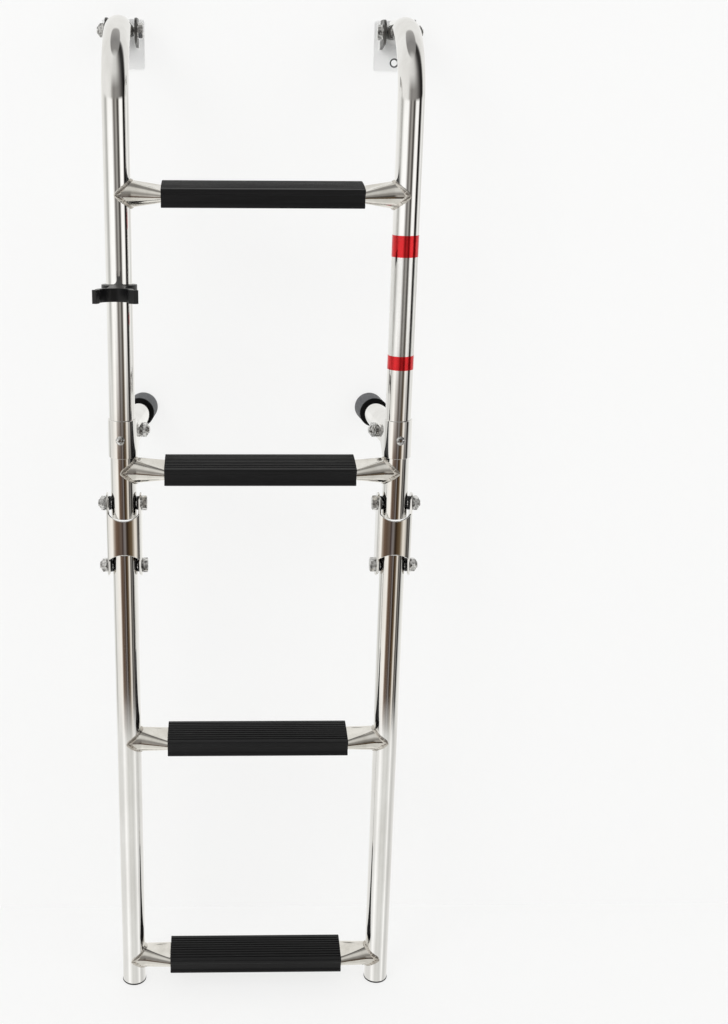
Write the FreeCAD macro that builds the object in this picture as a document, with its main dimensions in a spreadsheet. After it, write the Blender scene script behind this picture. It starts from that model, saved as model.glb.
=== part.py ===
"""Folding four-step boat ladder in polished stainless tube.

Two hooked rails hang from hinge brackets on a hull. A pair of half-pipe links
joins them to two lower rails, so that the lower half folds up in front of the
upper half. X runs from the left rail to the right one, +Y points at the hull
and +Z is up. The origin is on the hull face of the left hinge bracket.
"""
import FreeCAD, Part
import math
import os

import Sketcher

# Driving sizes, in millimetres and degrees
SIZES = {
    # rails
    "tube_od": 25.4,
    "tube_wall": 1.2,
    "rail_spacing": 272.0,
    "hook_radius": 65.0,
    "hook_reach": 107.0,
    "hook_tail": 14.0,
    "rail_stub": 14.0,
    "foot_drop": 29.3,
    # rungs and treads
    "first_rung_drop": 147.3,
    "rung_pitch": 268.4,
    "fold_pitch": 296.6,
    "rung_tilt": 8.0,
    "rung_flat_height": 12.0,
    "rung_seam": 0.6,
    "tread_length": 189.6,
    "tread_depth": 40.0,
    "tread_height": 17.5,
    "tread_crown": 1.2,
    "nosing_height": 4.0,
    "nosing_lip": 1.4,
    "bead_height": 2.6,
    "groove_width": 1.5,
    "groove_depth": 0.9,
    "groove_pitch": 3.6,
    "groove_count": 9,
    # hinge brackets
    "bracket_width": 42.0,
    "bracket_height": 48.0,
    "bracket_corner": 3.0,
    "plate_thickness": 2.5,
    "ear_radius": 12.0,
    "ear_root_height": 28.0,
    "ear_play": 0.5,
    "hinge_standoff": 31.0,
    "screw_spacing": 32.0,
    "screw_hole_radius": 3.25,
    # pivot bolts
    "bolt_radius": 4.0,
    "pin_clearance": 0.1,
    "head_height": 4.6,
    "hex_flats": 13.0,
    "nut_height": 5.4,
    "thread_tail": 1.6,
    "washer_radius": 7.5,
    "washer_thickness": 1.0,
    "button_radius": 6.5,
    "button_height": 1.8,
    # fold links
    "link_drop": 34.3,
    "link_pitch": 66.0,
    "link_width": 35.2,
    "link_corner": 8.0,
    "link_wall": 1.8,
    "link_ear_radius": 11.0,
    "lock_gap": 0.5,
    "saddle_gap": 2.6,
    "saddle_radius": 21.0,
    "spacer_radius": 7.0,
    "spacer_gap": 0.2,
    # standoffs
    "clasp_rise": 33.6,
    "clasp_height": 38.0,
    "clasp_wall": 1.4,
    "clasp_pivot": 33.0,
    "clasp_pivot_radius": 7.5,
    "clasp_taper_start": 2.0,
    "clasp_tongue_start": 13.0,
    "clasp_toe_in": 6.0,
    "standoff_od": 24.8,
    "standoff_nose": 9.0,
    "cap_radius": 15.3,
    "cap_length": 32.0,
    "cap_floor": 4.0,
    "cap_round": 3.0,
    # storage clip
    "clip_drop": 90.8,
    "clip_height": 12.6,
    "clip_rise": 4.3,
    "clip_wall": 4.4,
    "clip_web": 16.0,
    "clip_back_slot": 18.0,
    "jaw_gap": 0.4,
    "jaw_depth": 6.5,
    "lip_reach": 4.5,
    "lip_flare": 2.5,
    "guide_flare": 5.4,
    "lip_thickness": 4.0,
    # foot plugs
    "plug_rim": 2.0,
    "plug_barrel": 12.0,
    "plug_overhang": 0.3,
}

doc = FreeCAD.newDocument("boat_ladder")
sheet = doc.addObject("Spreadsheet::Sheet", "Sizes")
for row, (alias, value) in enumerate(SIZES.items(), start=1):
    sheet.set(f"A{row}", alias)
    sheet.set(f"B{row}", str(value))
    sheet.setAlias(f"B{row}", alias)
doc.recompute()


class Measure:
    """A length, number or angle: its value and the expression that gives it."""

    def __init__(self, text, value):
        self.text = text
        self.value = value

    def __add__(self, other):
        other = measure(other)
        return Measure(f"({self.text} + {other.text})", self.value + other.value)

    def __sub__(self, other):
        other = measure(other)
        return Measure(f"({self.text} - {other.text})", self.value - other.value)

    def __mul__(self, other):
        other = measure(other)
        return Measure(f"({self.text} * {other.text})", self.value * other.value)

    def __truediv__(self, other):
        other = measure(other)
        return Measure(f"({self.text} / {other.text})", self.value / other.value)

    def __neg__(self):
        return Measure(f"(-{self.text})", -self.value)


def measure(value):
    """A Measure from a plain number, or the Measure itself."""
    return value if isinstance(value, Measure) else Measure(repr(float(value)), float(value))


def size(alias):
    """The driving size of that name, bound to its cell."""
    return Measure(f"Sizes.{alias}", float(SIZES[alias]))


def leg(hypotenuse, side):
    """The other leg of a right triangle."""
    square = hypotenuse * hypotenuse - side * side
    return Measure(f"sqrt({square.text})", math.sqrt(square.value))


def sine(angle):
    """Sine of a Measure in degrees."""
    return Measure(f"sin({angle.text})", math.sin(math.radians(angle.value)))


def cosine(angle):
    """Cosine of a Measure in degrees."""
    return Measure(f"cos({angle.text})", math.cos(math.radians(angle.value)))


ZERO = measure(0.0)

# Places worked out from the driving sizes
TUBE_RADIUS = size("tube_od") / 2
RAIL_Y = -(size("hinge_standoff") + size("hook_reach"))
HINGE_Y = -size("hinge_standoff")
HINGE_Z = size("bracket_height") / 2 - size("ear_radius")
FIRST_RUNG_Z = HINGE_Z - size("first_rung_drop")
SECOND_RUNG_Z = FIRST_RUNG_Z - size("rung_pitch")
THIRD_RUNG_Z = SECOND_RUNG_Z - size("fold_pitch")
BOTTOM_RUNG_Z = THIRD_RUNG_Z - size("rung_pitch")
TOP_LINK_Z = SECOND_RUNG_Z - size("link_drop")
BOTTOM_LINK_Z = TOP_LINK_Z - size("link_pitch")
CLASP_Z = SECOND_RUNG_Z + size("clasp_rise")
CLIP_Z = FIRST_RUNG_Z - size("clip_drop")
FOOT_Z = BOTTOM_RUNG_Z - size("foot_drop")
PIN_HOLE_RADIUS = size("bolt_radius") + size("pin_clearance")
RAIL_X = {"left": ZERO, "right": size("rail_spacing")}
MIDDLE_X = size("rail_spacing") / 2
INBOARD = {"left": 1, "right": -1}

# The clasps are turned a little about the rails, so that the standoffs point inboard
TOE_IN = size("clasp_toe_in")
PIVOT_X = {side: RAIL_X[side] + size("clasp_pivot") * sine(TOE_IN) * INBOARD[side] for side in INBOARD}
PIVOT_Y = RAIL_Y + size("clasp_pivot") * cosine(TOE_IN)
CAP_SPAN = -RAIL_Y - size("cap_round") - (size("cap_radius") - size("cap_round")) * sine(TOE_IN)
STANDOFF_REACH = CAP_SPAN / cosine(TOE_IN) + size("cap_round") - size("clasp_pivot")


# Sketching and feature helpers

def origin_plane(body, role):
    """One of the body's own origin planes."""
    return next(item for item in body.Origin.OriginFeatures if item.Role == role)


def new_sketch(body, role, name, offset=None):
    """A sketch on one of the body's origin planes, moved along its normal."""
    sketch = body.newObject("Sketcher::SketchObject", name)
    sketch.AttachmentSupport = [(origin_plane(body, role), "")]
    sketch.MapMode = "FlatFace"
    if offset is not None:
        sketch.setExpression("AttachmentOffset.Base.z", offset.text)
    return sketch


def fix_point(sketch, geometry, position, x, y):
    """Hold a point of the sketch at x, y."""
    for kind, axis, value in (("DistanceX", -2, x), ("DistanceY", -1, y)):
        if value is ZERO:
            sketch.addConstraint(Sketcher.Constraint("PointOnObject", geometry, position, axis))
            continue
        index = sketch.addConstraint(Sketcher.Constraint(kind, -1, 1, geometry, position, value.value))
        sketch.setExpression(f"Constraints[{index}]", value.text)


def draw_circle(sketch, x, y, radius):
    """A circle with its centre and radius bound."""
    circle = Part.Circle(FreeCAD.Vector(x.value, y.value, 0), FreeCAD.Vector(0, 0, 1), radius.value)
    geometry = sketch.addGeometry(circle, False)
    fix_point(sketch, geometry, 3, x, y)
    index = sketch.addConstraint(Sketcher.Constraint("Radius", geometry, radius.value))
    sketch.setExpression(f"Constraints[{index}]", radius.text)


def arc_geometry(start, end, centre, turn):
    """An arc about centre from start to end, and which of its ends is the start."""
    first, last = (start, end) if turn == "left" else (end, start)
    angles = [math.atan2(y.value - centre[1].value, x.value - centre[0].value) for x, y in (first, last)]
    if angles[1] <= angles[0] + 1e-9:
        angles[1] += 2 * math.pi
    radius = math.hypot(first[0].value - centre[0].value, first[1].value - centre[1].value)
    middle = FreeCAD.Vector(centre[0].value, centre[1].value, 0)
    circle = Part.Circle(middle, FreeCAD.Vector(0, 0, 1), radius)
    return Part.ArcOfCircle(circle, *angles), (1, 2) if turn == "left" else (2, 1)


def hold_arc_centre(sketch, geometry, start, end, centre):
    """Fix the one coordinate of the centre that the arc's ends leave open."""
    across = abs(end[0].value - start[0].value)
    along = abs(end[1].value - start[1].value)
    kind, value = ("DistanceX", centre[0]) if along > across else ("DistanceY", centre[1])
    if value is ZERO:
        axis = -2 if kind == "DistanceX" else -1
        sketch.addConstraint(Sketcher.Constraint("PointOnObject", geometry, 3, axis))
        return
    index = sketch.addConstraint(Sketcher.Constraint(kind, -1, 1, geometry, 3, value.value))
    sketch.setExpression(f"Constraints[{index}]", value.text)


def draw_path(sketch, start, steps, closed=True):
    """Lines and arcs from corner to corner.

    A step is (x, y) for a line, or (x, y, centre_x, centre_y, turn) for an arc.
    """
    corners = [start] + [step[:2] for step in steps]
    ends = []
    for index, step in enumerate(steps):
        here, there = corners[index], corners[index + 1]
        if len(step) == 2:
            line = Part.LineSegment(FreeCAD.Vector(here[0].value, here[1].value, 0),
                                    FreeCAD.Vector(there[0].value, there[1].value, 0))
            ends.append((sketch.addGeometry(line, False), 1, 2))
            continue
        arc, (first, last) = arc_geometry(here, there, step[2:4], step[4])
        ends.append((sketch.addGeometry(arc, False), first, last))
    for (geometry, _, last), (following, first, _) in zip(ends, ends[1:]):
        sketch.addConstraint(Sketcher.Constraint("Coincident", geometry, last, following, first))
    if closed:
        sketch.addConstraint(Sketcher.Constraint("Coincident", ends[-1][0], ends[-1][2], ends[0][0], ends[0][1]))
    else:
        fix_point(sketch, ends[-1][0], ends[-1][2], *corners[-1])
    for index, (geometry, first, _) in enumerate(ends):
        fix_point(sketch, geometry, first, *corners[index])
        if len(steps[index]) > 2:
            hold_arc_centre(sketch, geometry, corners[index], corners[index + 1], steps[index][2:4])


def draw_obround(sketch, width, height):
    """A flat-topped oval about the sketch's origin."""
    end_radius = height / 2
    flat = width / 2 - end_radius
    draw_path(sketch, (-flat, end_radius), [
        (-flat, -end_radius, -flat, ZERO, "left"),
        (flat, -end_radius),
        (flat, end_radius, flat, ZERO, "left"),
        (-flat, end_radius),
    ])


def pad(body, sketch, length, symmetric=False, reverse=False):
    """Extrude a sketch by a bound length."""
    feature = body.newObject("PartDesign::Pad", "Pad")
    feature.Profile = sketch
    feature.setExpression("Length", length.text)
    feature.SideType = "Symmetric" if symmetric else "One side"
    feature.Reversed = reverse
    return feature


def pocket_through(body, sketch):
    """Cut a sketch through the whole body, both ways, and see that it cuts."""
    before = body.Shape.Volume
    feature = body.newObject("PartDesign::Pocket", "Pocket")
    feature.Profile = sketch
    feature.Type = "ThroughAll"
    feature.SideType = "Symmetric"
    doc.recompute()
    if not body.Shape.Volume < before:
        raise ValueError(f"{sketch.Label} in {body.Label} cuts nothing")
    return feature


def put(item, x, y, z, axis=None, angle=None):
    """Place a sub-part at a bound position, turned about an axis."""
    if angle is not None:
        item.Placement = FreeCAD.Placement(FreeCAD.Vector(), FreeCAD.Rotation(axis, angle.value))
        item.setExpression("Placement.Rotation.Angle", angle.text)
    for coordinate, value in zip("xyz", (x, y, z)):
        item.setExpression(f"Placement.Base.{coordinate}", value.text)


def new_body(label):
    """An empty body with its own name."""
    body = doc.addObject("PartDesign::Body", label)
    body.Label = label
    return body


SUBPARTS = []


def keep(item):
    """List a finished sub-part for export."""
    SUBPARTS.append(item)
    return item


AXIS_X = FreeCAD.Vector(1, 0, 0)
AXIS_Y = FreeCAD.Vector(0, 1, 0)
AXIS_Z = FreeCAD.Vector(0, 0, 1)
QUARTER_TURN = measure(90.0)


# Hinge brackets: a base plate on the hull with two ears bent forward

def hinge_bracket(side):
    """Base plate, ears on its upper part with a round nose about the bolt, and screw holes."""
    body = new_body(f"{side}_hinge_bracket")
    half_width = size("bracket_width") / 2
    half_height = size("bracket_height") / 2
    corner = size("bracket_corner")
    base = new_sketch(body, "XZ_Plane", "BaseOutline")
    draw_path(base, (half_width - corner, half_height), [
        (-half_width + corner, half_height),
        (-half_width, half_height - corner, -half_width + corner, half_height - corner, "left"),
        (-half_width, -half_height + corner),
        (-half_width + corner, -half_height, -half_width + corner, -half_height + corner, "left"),
        (half_width - corner, -half_height),
        (half_width, -half_height + corner, half_width - corner, -half_height + corner, "left"),
        (half_width, half_height - corner),
        (half_width - corner, half_height, half_width - corner, half_height - corner, "left"),
    ])
    pad(body, base, size("plate_thickness"))
    inner_face = TUBE_RADIUS + size("ear_play")
    ear = new_sketch(body, "YZ_Plane", "EarOutline", inner_face)
    nose_low = HINGE_Z - size("ear_radius")
    ear_low = half_height - size("ear_root_height")
    root = -size("plate_thickness") * 2
    draw_path(ear, (ZERO, half_height), [
        (HINGE_Y, half_height),
        (HINGE_Y, nose_low, HINGE_Y, HINGE_Z, "left"),
        (root, ear_low),
        (ZERO, ear_low),
        (ZERO, half_height),
    ])
    ear_pad = pad(body, ear, size("plate_thickness"))
    mirrored = body.newObject("PartDesign::Mirrored", "OtherEar")
    mirrored.Originals = [ear_pad]
    mirrored.MirrorPlane = (origin_plane(body, "YZ_Plane"), [""])
    body.Tip = mirrored
    doc.recompute()
    bolt_hole = new_sketch(body, "YZ_Plane", "BoltHole")
    draw_circle(bolt_hole, HINGE_Y, HINGE_Z, PIN_HOLE_RADIUS)
    pocket_through(body, bolt_hole)
    screws = new_sketch(body, "XZ_Plane", "ScrewHoles")
    for height in (size("screw_spacing") / 2, -size("screw_spacing") / 2):
        draw_circle(screws, ZERO, height, size("screw_hole_radius"))
    pocket_through(body, screws)
    put(body, RAIL_X[side], ZERO, ZERO)
    return keep(body)


# Bolts: hexagon head, washers, shank and nut, along X, with the head inboard

def hex_bolt(label, x, y, z, grip, direction, toe=None):
    """One pivot bolt that clamps a grip length about its middle, with its head towards +X or -X.

    With a toe-in the bolt is turned with its clasp and has a low button head that needs no washer.
    """
    flats_to_corners = 2 / math.sqrt(3)
    half_grip = grip / 2
    washer = size("washer_thickness")
    head_start = half_grip + washer
    tail_start = head_start + size("nut_height") + size("thread_tail")
    pieces = []
    head = ("HeadWasher", size("washer_radius"), half_grip, washer)
    if toe is not None:
        head = ("ButtonHead", size("button_radius"), half_grip, size("button_height"))
    for name, radius, start, length in (
            ("Shank", size("bolt_radius"), -tail_start, tail_start + half_grip + washer),
            head,
            ("NutWasher", size("washer_radius"), -head_start, washer)):
        piece = doc.addObject("Part::Cylinder", f"{label}_{name}")
        piece.setExpression("Radius", radius.text)
        piece.setExpression("Height", length.text)
        piece.setExpression("Placement.Base.z", start.text)
        pieces.append(piece)
    prisms = [("Nut", -head_start - size("nut_height"), size("nut_height"))]
    if toe is None:
        prisms.append(("Head", head_start, size("head_height")))
    for name, start, length in prisms:
        piece = doc.addObject("Part::Prism", f"{label}_{name}")
        piece.Polygon = 6
        piece.setExpression("Circumradius", (size("hex_flats") / 2 * flats_to_corners).text)
        piece.setExpression("Height", length.text)
        piece.setExpression("Placement.Base.z", start.text)
        pieces.append(piece)
    bolt = doc.addObject("Part::MultiFuse", label)
    bolt.Shapes = pieces
    bolt.Label = label
    put(bolt, x, y, z, AXIS_Y, QUARTER_TURN * direction)
    if toe is not None:
        bolt.setExpression("Placement.Rotation.Axis.x", sine(toe).text)
        bolt.setExpression("Placement.Rotation.Axis.y", cosine(toe).text)
    return keep(bolt)


# Rails

def annulus(sketch, outer):
    """A tube's section about the sketch's origin."""
    draw_circle(sketch, ZERO, ZERO, outer)
    draw_circle(sketch, ZERO, ZERO, outer - size("tube_wall"))


def upper_rail(side):
    """Straight tube that bends back into the hook, swept along its centreline."""
    body = new_body(f"{side}_upper_rail")
    radius = size("hook_radius")
    bend_z = HINGE_Z - radius - (TOP_LINK_Z - size("rail_stub"))
    arm_z = bend_z + radius
    section = new_sketch(body, "XY_Plane", "TubeSection")
    annulus(section, TUBE_RADIUS)
    path = new_sketch(body, "YZ_Plane", "Centreline")
    draw_path(path, (ZERO, ZERO), [
        (ZERO, bend_z),
        (radius, arm_z, radius, bend_z, "right"),
        (size("hook_reach") + size("hook_tail"), arm_z),
    ], closed=False)
    sweep = body.newObject("PartDesign::AdditivePipe", "Tube")
    sweep.Profile = section
    sweep.Spine = (path, [])
    doc.recompute()
    holes = new_sketch(body, "YZ_Plane", "PivotHoles")
    draw_circle(holes, size("hook_reach"), arm_z, PIN_HOLE_RADIUS)
    draw_circle(holes, ZERO, size("rail_stub"), PIN_HOLE_RADIUS)
    pocket_through(body, holes)
    put(body, RAIL_X[side], RAIL_Y, TOP_LINK_Z - size("rail_stub"))
    return keep(body)


def lower_rail(side):
    """Straight tube from inside the link down to the foot plug."""
    body = new_body(f"{side}_lower_rail")
    section = new_sketch(body, "XY_Plane", "TubeSection")
    annulus(section, TUBE_RADIUS)
    length = BOTTOM_LINK_Z + size("rail_stub") - FOOT_Z
    pad(body, section, length)
    doc.recompute()
    hole = new_sketch(body, "YZ_Plane", "PivotHole")
    draw_circle(hole, ZERO, length - size("rail_stub"), PIN_HOLE_RADIUS)
    pocket_through(body, hole)
    put(body, RAIL_X[side], RAIL_Y, FOOT_Z)
    return keep(body)


def foot_plug(side):
    """Turned plug that closes the tube's lower end and stands proud as a rim."""
    body = new_body(f"{side}_foot_plug")
    profile = new_sketch(body, "YZ_Plane", "PlugProfile")
    rim = TUBE_RADIUS + size("plug_overhang")
    barrel = TUBE_RADIUS - size("tube_wall")
    draw_path(profile, (ZERO, -size("plug_rim")), [
        (rim, -size("plug_rim")),
        (rim, ZERO),
        (barrel, ZERO),
        (barrel, size("plug_barrel")),
        (ZERO, size("plug_barrel")),
        (ZERO, -size("plug_rim")),
    ])
    turned = body.newObject("PartDesign::Revolution", "Turned")
    turned.Profile = profile
    turned.ReferenceAxis = (profile, ["V_Axis"])
    turned.Angle = 360
    put(body, RAIL_X[side], RAIL_Y, FOOT_Z)
    return keep(body)


# Rungs: round tube pressed flat between its ends, coped round the rails

def rung(label, z):
    """Hollow pressed tube, lofted from round to flat, with coped ends."""
    body = new_body(f"{label}_blank")
    flat_height = size("rung_flat_height")
    flat_width = flat_height + (size("tube_od") - flat_height) * (math.pi / 2)
    round_width = size("tube_od") + size("rung_seam")
    wall = size("tube_wall")
    rail_x = MIDDLE_X
    weld_x = MIDDLE_X - TUBE_RADIUS
    flat_x = size("tread_length") / 2
    stations = [(-rail_x, "round"), (-weld_x, "round"), (-flat_x, "flat"),
                (flat_x, "flat"), (weld_x, "round"), (rail_x, "round")]
    for kind, skin, name in (("PartDesign::AdditiveLoft", ZERO, "Outer"),
                             ("PartDesign::SubtractiveLoft", wall * 2, "Inner")):
        sections = []
        for index, (x, form) in enumerate(stations):
            section = new_sketch(body, "YZ_Plane", f"{name}Section{index}", x)
            if form == "round":
                draw_obround(section, round_width - skin, size("tube_od") - skin)
            else:
                draw_obround(section, flat_width - skin, flat_height - skin)
            sections.append(section)
        loft = body.newObject(kind, f"{name}Loft")
        loft.Profile = sections[0]
        loft.Sections = sections[1:]
        loft.Ruled = True
        doc.recompute()
    put(body, MIDDLE_X, RAIL_Y, z, AXIS_X, size("rung_tilt"))
    rails = []
    for side, x in RAIL_X.items():
        cope = doc.addObject("Part::Cylinder", f"{label}_{side}_cope")
        cope.setExpression("Radius", TUBE_RADIUS.text)
        cope.setExpression("Height", (size("tube_od") * 2).text)
        put(cope, x, RAIL_Y, z - size("tube_od"))
        rails.append(cope)
    tool = doc.addObject("Part::MultiFuse", f"{label}_copes")
    tool.Shapes = rails
    coped = doc.addObject("Part::Cut", label)
    coped.Base = body
    coped.Tool = tool
    coped.Label = label
    return keep(coped)


# Treads: ribbed plastic sleeves on the flat of each rung

def tread(label, z):
    """Extruded sleeve with a crowned, grooved top, nosings and a lower bead."""
    body = new_body(label)
    half_depth = size("tread_depth") / 2
    half_height = size("tread_height") / 2
    crown = size("tread_crown")
    lip = size("nosing_lip")
    crown_radius = (half_depth * half_depth + crown * crown) / (crown * 2)
    crown_centre = half_height + crown - crown_radius
    nosing_low = half_height - size("nosing_height")
    bead_top = -half_height + size("bead_height")
    face = half_depth - lip
    flat_height = size("rung_flat_height")
    flat_width = flat_height + (size("tube_od") - flat_height) * (math.pi / 2)
    outline = new_sketch(body, "YZ_Plane", "SleeveSection")
    draw_path(outline, (half_depth, half_height), [
        (-half_depth, half_height, ZERO, crown_centre, "left"),
        (-half_depth, nosing_low),
        (-face, nosing_low - lip),
        (-face, bead_top + lip),
        (-half_depth, bead_top),
        (-face, -half_height),
        (face, -half_height),
        (half_depth, bead_top),
        (face, bead_top + lip),
        (face, nosing_low - lip),
        (half_depth, nosing_low),
        (half_depth, half_height),
    ])
    draw_obround(outline, flat_width, flat_height)
    pad(body, outline, size("tread_length"), symmetric=True)
    doc.recompute()
    grooves = new_sketch(body, "YZ_Plane", "GrooveSections")
    half_groove = size("groove_width") / 2
    top = half_height + crown * 2
    for index in range(SIZES["groove_count"]):
        middle = size("groove_pitch") * (index - (SIZES["groove_count"] - 1) / 2)
        surface = leg(crown_radius, middle) + crown_centre
        floor = surface - size("groove_depth")
        draw_path(grooves, (middle - half_groove, top), [
            (middle - half_groove, floor),
            (middle + half_groove, floor),
            (middle + half_groove, top),
            (middle - half_groove, top),
        ])
    pocket_through(body, grooves)
    put(body, MIDDLE_X, RAIL_Y, z, AXIS_X, size("rung_tilt"))
    return keep(body)


# Fold links: a pressed half-pipe with saddle-cut ends and round ears

def fold_link(side):
    """U-shaped pressing with a shallow saddle notch for each rail and ears rounded about each bolt."""
    body = new_body(f"{side}_fold_link")
    wall = size("link_wall")
    outer = size("link_width") / 2
    inner = outer - wall
    back = size("link_ear_radius")
    front = -(TUBE_RADIUS + size("lock_gap") + wall)
    corner = size("link_corner")
    turn_x = outer - corner
    turn_y = front + corner
    half_pitch = size("link_pitch") / 2
    plan = new_sketch(body, "XY_Plane", "ChannelSection")
    draw_path(plan, (-outer, back), [
        (-outer, turn_y),
        (-turn_x, front, -turn_x, turn_y, "left"),
        (turn_x, front),
        (outer, turn_y, turn_x, turn_y, "left"),
        (outer, back),
        (inner, back),
        (inner, turn_y),
        (turn_x, front + wall, turn_x, turn_y, "right"),
        (-turn_x, front + wall),
        (-inner, turn_y, -turn_x, turn_y, "right"),
        (-inner, back),
        (-outer, back),
    ])
    pad(body, plan, size("link_pitch") + size("link_ear_radius") * 2, symmetric=True)
    doc.recompute()
    saddles = new_sketch(body, "XZ_Plane", "SaddleCuts")
    notch = TUBE_RADIUS + size("saddle_gap")
    notch_top = half_pitch + back + wall
    centre_z = half_pitch - notch + size("saddle_radius")
    side_z = centre_z - leg(size("saddle_radius"), notch)
    for sign in (1, -1):
        draw_path(saddles, (-notch, notch_top * sign), [
            (-notch, side_z * sign),
            (notch, side_z * sign, ZERO, centre_z * sign, "left" if sign > 0 else "right"),
            (notch, notch_top * sign),
            (-notch, notch_top * sign),
        ])
    cut = body.newObject("PartDesign::Pocket", "Saddles")
    cut.Profile = saddles
    cut.Type = "ThroughAll"
    cut.SideType = "Symmetric"
    doc.recompute()
    ears = new_sketch(body, "YZ_Plane", "EarTrims")
    brim = wall * 2
    shoulder = half_pitch - (TUBE_RADIUS + size("saddle_gap")) / 2
    for sign in (1, -1):
        bolt_z = half_pitch * sign
        tip = (half_pitch + back + brim) * sign
        draw_path(ears, (front - brim, tip), [
            (back + brim, tip),
            (back + brim, bolt_z),
            (back, bolt_z),
            (-back, bolt_z, ZERO, bolt_z, "left" if sign > 0 else "right"),
            (front, shoulder * sign),
            (front - brim, shoulder * sign),
            (front - brim, tip),
        ])
    pocket_through(body, ears)
    holes = new_sketch(body, "YZ_Plane", "BoltHoles")
    for z in (half_pitch, -half_pitch):
        draw_circle(holes, ZERO, z, PIN_HOLE_RADIUS)
    pocket_through(body, holes)
    put(body, RAIL_X[side], RAIL_Y, (TOP_LINK_Z + BOTTOM_LINK_Z) / 2)
    return keep(body)


def link_spacers(side):
    """Four plastic washers between a link's ears and the two tubes."""
    inner_face = TUBE_RADIUS + size("spacer_gap")
    outer_face = size("link_width") / 2 - size("link_wall") - size("spacer_gap")
    rings = []
    for end, z in (("top", TOP_LINK_Z), ("bottom", BOTTOM_LINK_Z)):
        for sign in (1, -1):
            name = f"{side}_{end}_spacer_{'outer' if sign > 0 else 'inner'}"
            disc = doc.addObject("Part::Cylinder", f"{name}_disc")
            disc.setExpression("Radius", size("spacer_radius").text)
            bore = doc.addObject("Part::Cylinder", f"{name}_bore")
            bore.setExpression("Radius", PIN_HOLE_RADIUS.text)
            ring = doc.addObject("Part::Cut", name)
            ring.Base = disc
            ring.Tool = bore
            for piece in (disc, bore):
                piece.setExpression("Height", (outer_face - inner_face).text)
                put(piece, RAIL_X[side] + inner_face * sign, RAIL_Y, z, AXIS_Y, QUARTER_TURN * sign)
            rings.append(ring)
    group = doc.addObject("Part::Compound", f"{side}_link_spacers")
    group.Links = rings
    group.Label = f"{side}_link_spacers"
    return keep(group)


# Standoffs: a clasp round the rail, a tube on a pivot bolt and a rubber cap

def standoff_clasp(side):
    """Strap bent round the front of the rail, whose ends narrow to a tongue on each side of the pivot."""
    body = new_body(f"{side}_standoff_clasp")
    inner = TUBE_RADIUS
    outer = TUBE_RADIUS + size("clasp_wall")
    end = size("clasp_pivot") + size("clasp_pivot_radius")
    plan = new_sketch(body, "XY_Plane", "StrapSection")
    draw_path(plan, (-outer, end), [
        (-outer, ZERO),
        (outer, ZERO, ZERO, ZERO, "left"),
        (outer, end),
        (inner, end),
        (inner, ZERO),
        (-inner, ZERO, ZERO, ZERO, "right"),
        (-inner, end),
        (-outer, end),
    ])
    pad(body, plan, size("clasp_height"), symmetric=True)
    doc.recompute()
    half_height = size("clasp_height") / 2
    start = size("clasp_taper_start")
    radius = size("clasp_pivot_radius")
    pivot = size("clasp_pivot")
    brim = size("clasp_wall") * 2
    trim = new_sketch(body, "YZ_Plane", "EarTrim")
    draw_path(trim, (start, half_height), [
        (size("clasp_tongue_start"), radius),
        (pivot, radius),
        (pivot, -radius, pivot, ZERO, "right"),
        (size("clasp_tongue_start"), -radius),
        (start, -half_height),
        (start, -half_height - brim),
        (end + brim, -half_height - brim),
        (end + brim, half_height + brim),
        (start, half_height + brim),
        (start, half_height),
    ])
    pocket_through(body, trim)
    hole = new_sketch(body, "YZ_Plane", "PivotHole")
    draw_circle(hole, pivot, ZERO, PIN_HOLE_RADIUS)
    pocket_through(body, hole)
    put(body, RAIL_X[side], RAIL_Y, CLASP_Z, AXIS_Z, TOE_IN * -INBOARD[side])
    return keep(body)


def standoff_tube(side):
    """Tube that runs back from the pivot into the rubber cap."""
    body = new_body(f"{side}_standoff_tube")
    section = new_sketch(body, "XZ_Plane", "TubeSection", size("standoff_nose"))
    annulus(section, size("standoff_od") / 2)
    length = size("standoff_nose") + STANDOFF_REACH - size("cap_floor")
    pad(body, section, length, reverse=True)
    doc.recompute()
    hole = new_sketch(body, "YZ_Plane", "PivotHole")
    draw_circle(hole, ZERO, ZERO, PIN_HOLE_RADIUS)
    pocket_through(body, hole)
    put(body, PIVOT_X[side], PIVOT_Y, CLASP_Z, AXIS_Z, TOE_IN * -INBOARD[side])
    return keep(body)


def standoff_cap(side):
    """Moulded rubber cup over the tube's end, turned about the tube's axis."""
    body = new_body(f"{side}_standoff_cap")
    profile = new_sketch(body, "YZ_Plane", "CupProfile")
    mouth = STANDOFF_REACH - size("cap_length")
    floor = STANDOFF_REACH - size("cap_floor")
    bore = size("standoff_od") / 2
    outer = size("cap_radius")
    rounding = size("cap_round")
    edge = STANDOFF_REACH - rounding
    draw_path(profile, (mouth, bore), [
        (floor, bore),
        (floor, ZERO),
        (STANDOFF_REACH, ZERO),
        (STANDOFF_REACH, outer - rounding),
        (edge, outer, edge, outer - rounding, "left"),
        (mouth, outer),
        (mouth, bore),
    ])
    turned = body.newObject("PartDesign::Revolution", "Turned")
    turned.Profile = profile
    turned.ReferenceAxis = (profile, ["H_Axis"])
    turned.Angle = 360
    put(body, PIVOT_X[side], PIVOT_Y, CLASP_Z, AXIS_Z, TOE_IN * -INBOARD[side])
    return keep(body)


# Storage clip: one jaw snapped on the rail, one open jaw for the folded rail

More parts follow.
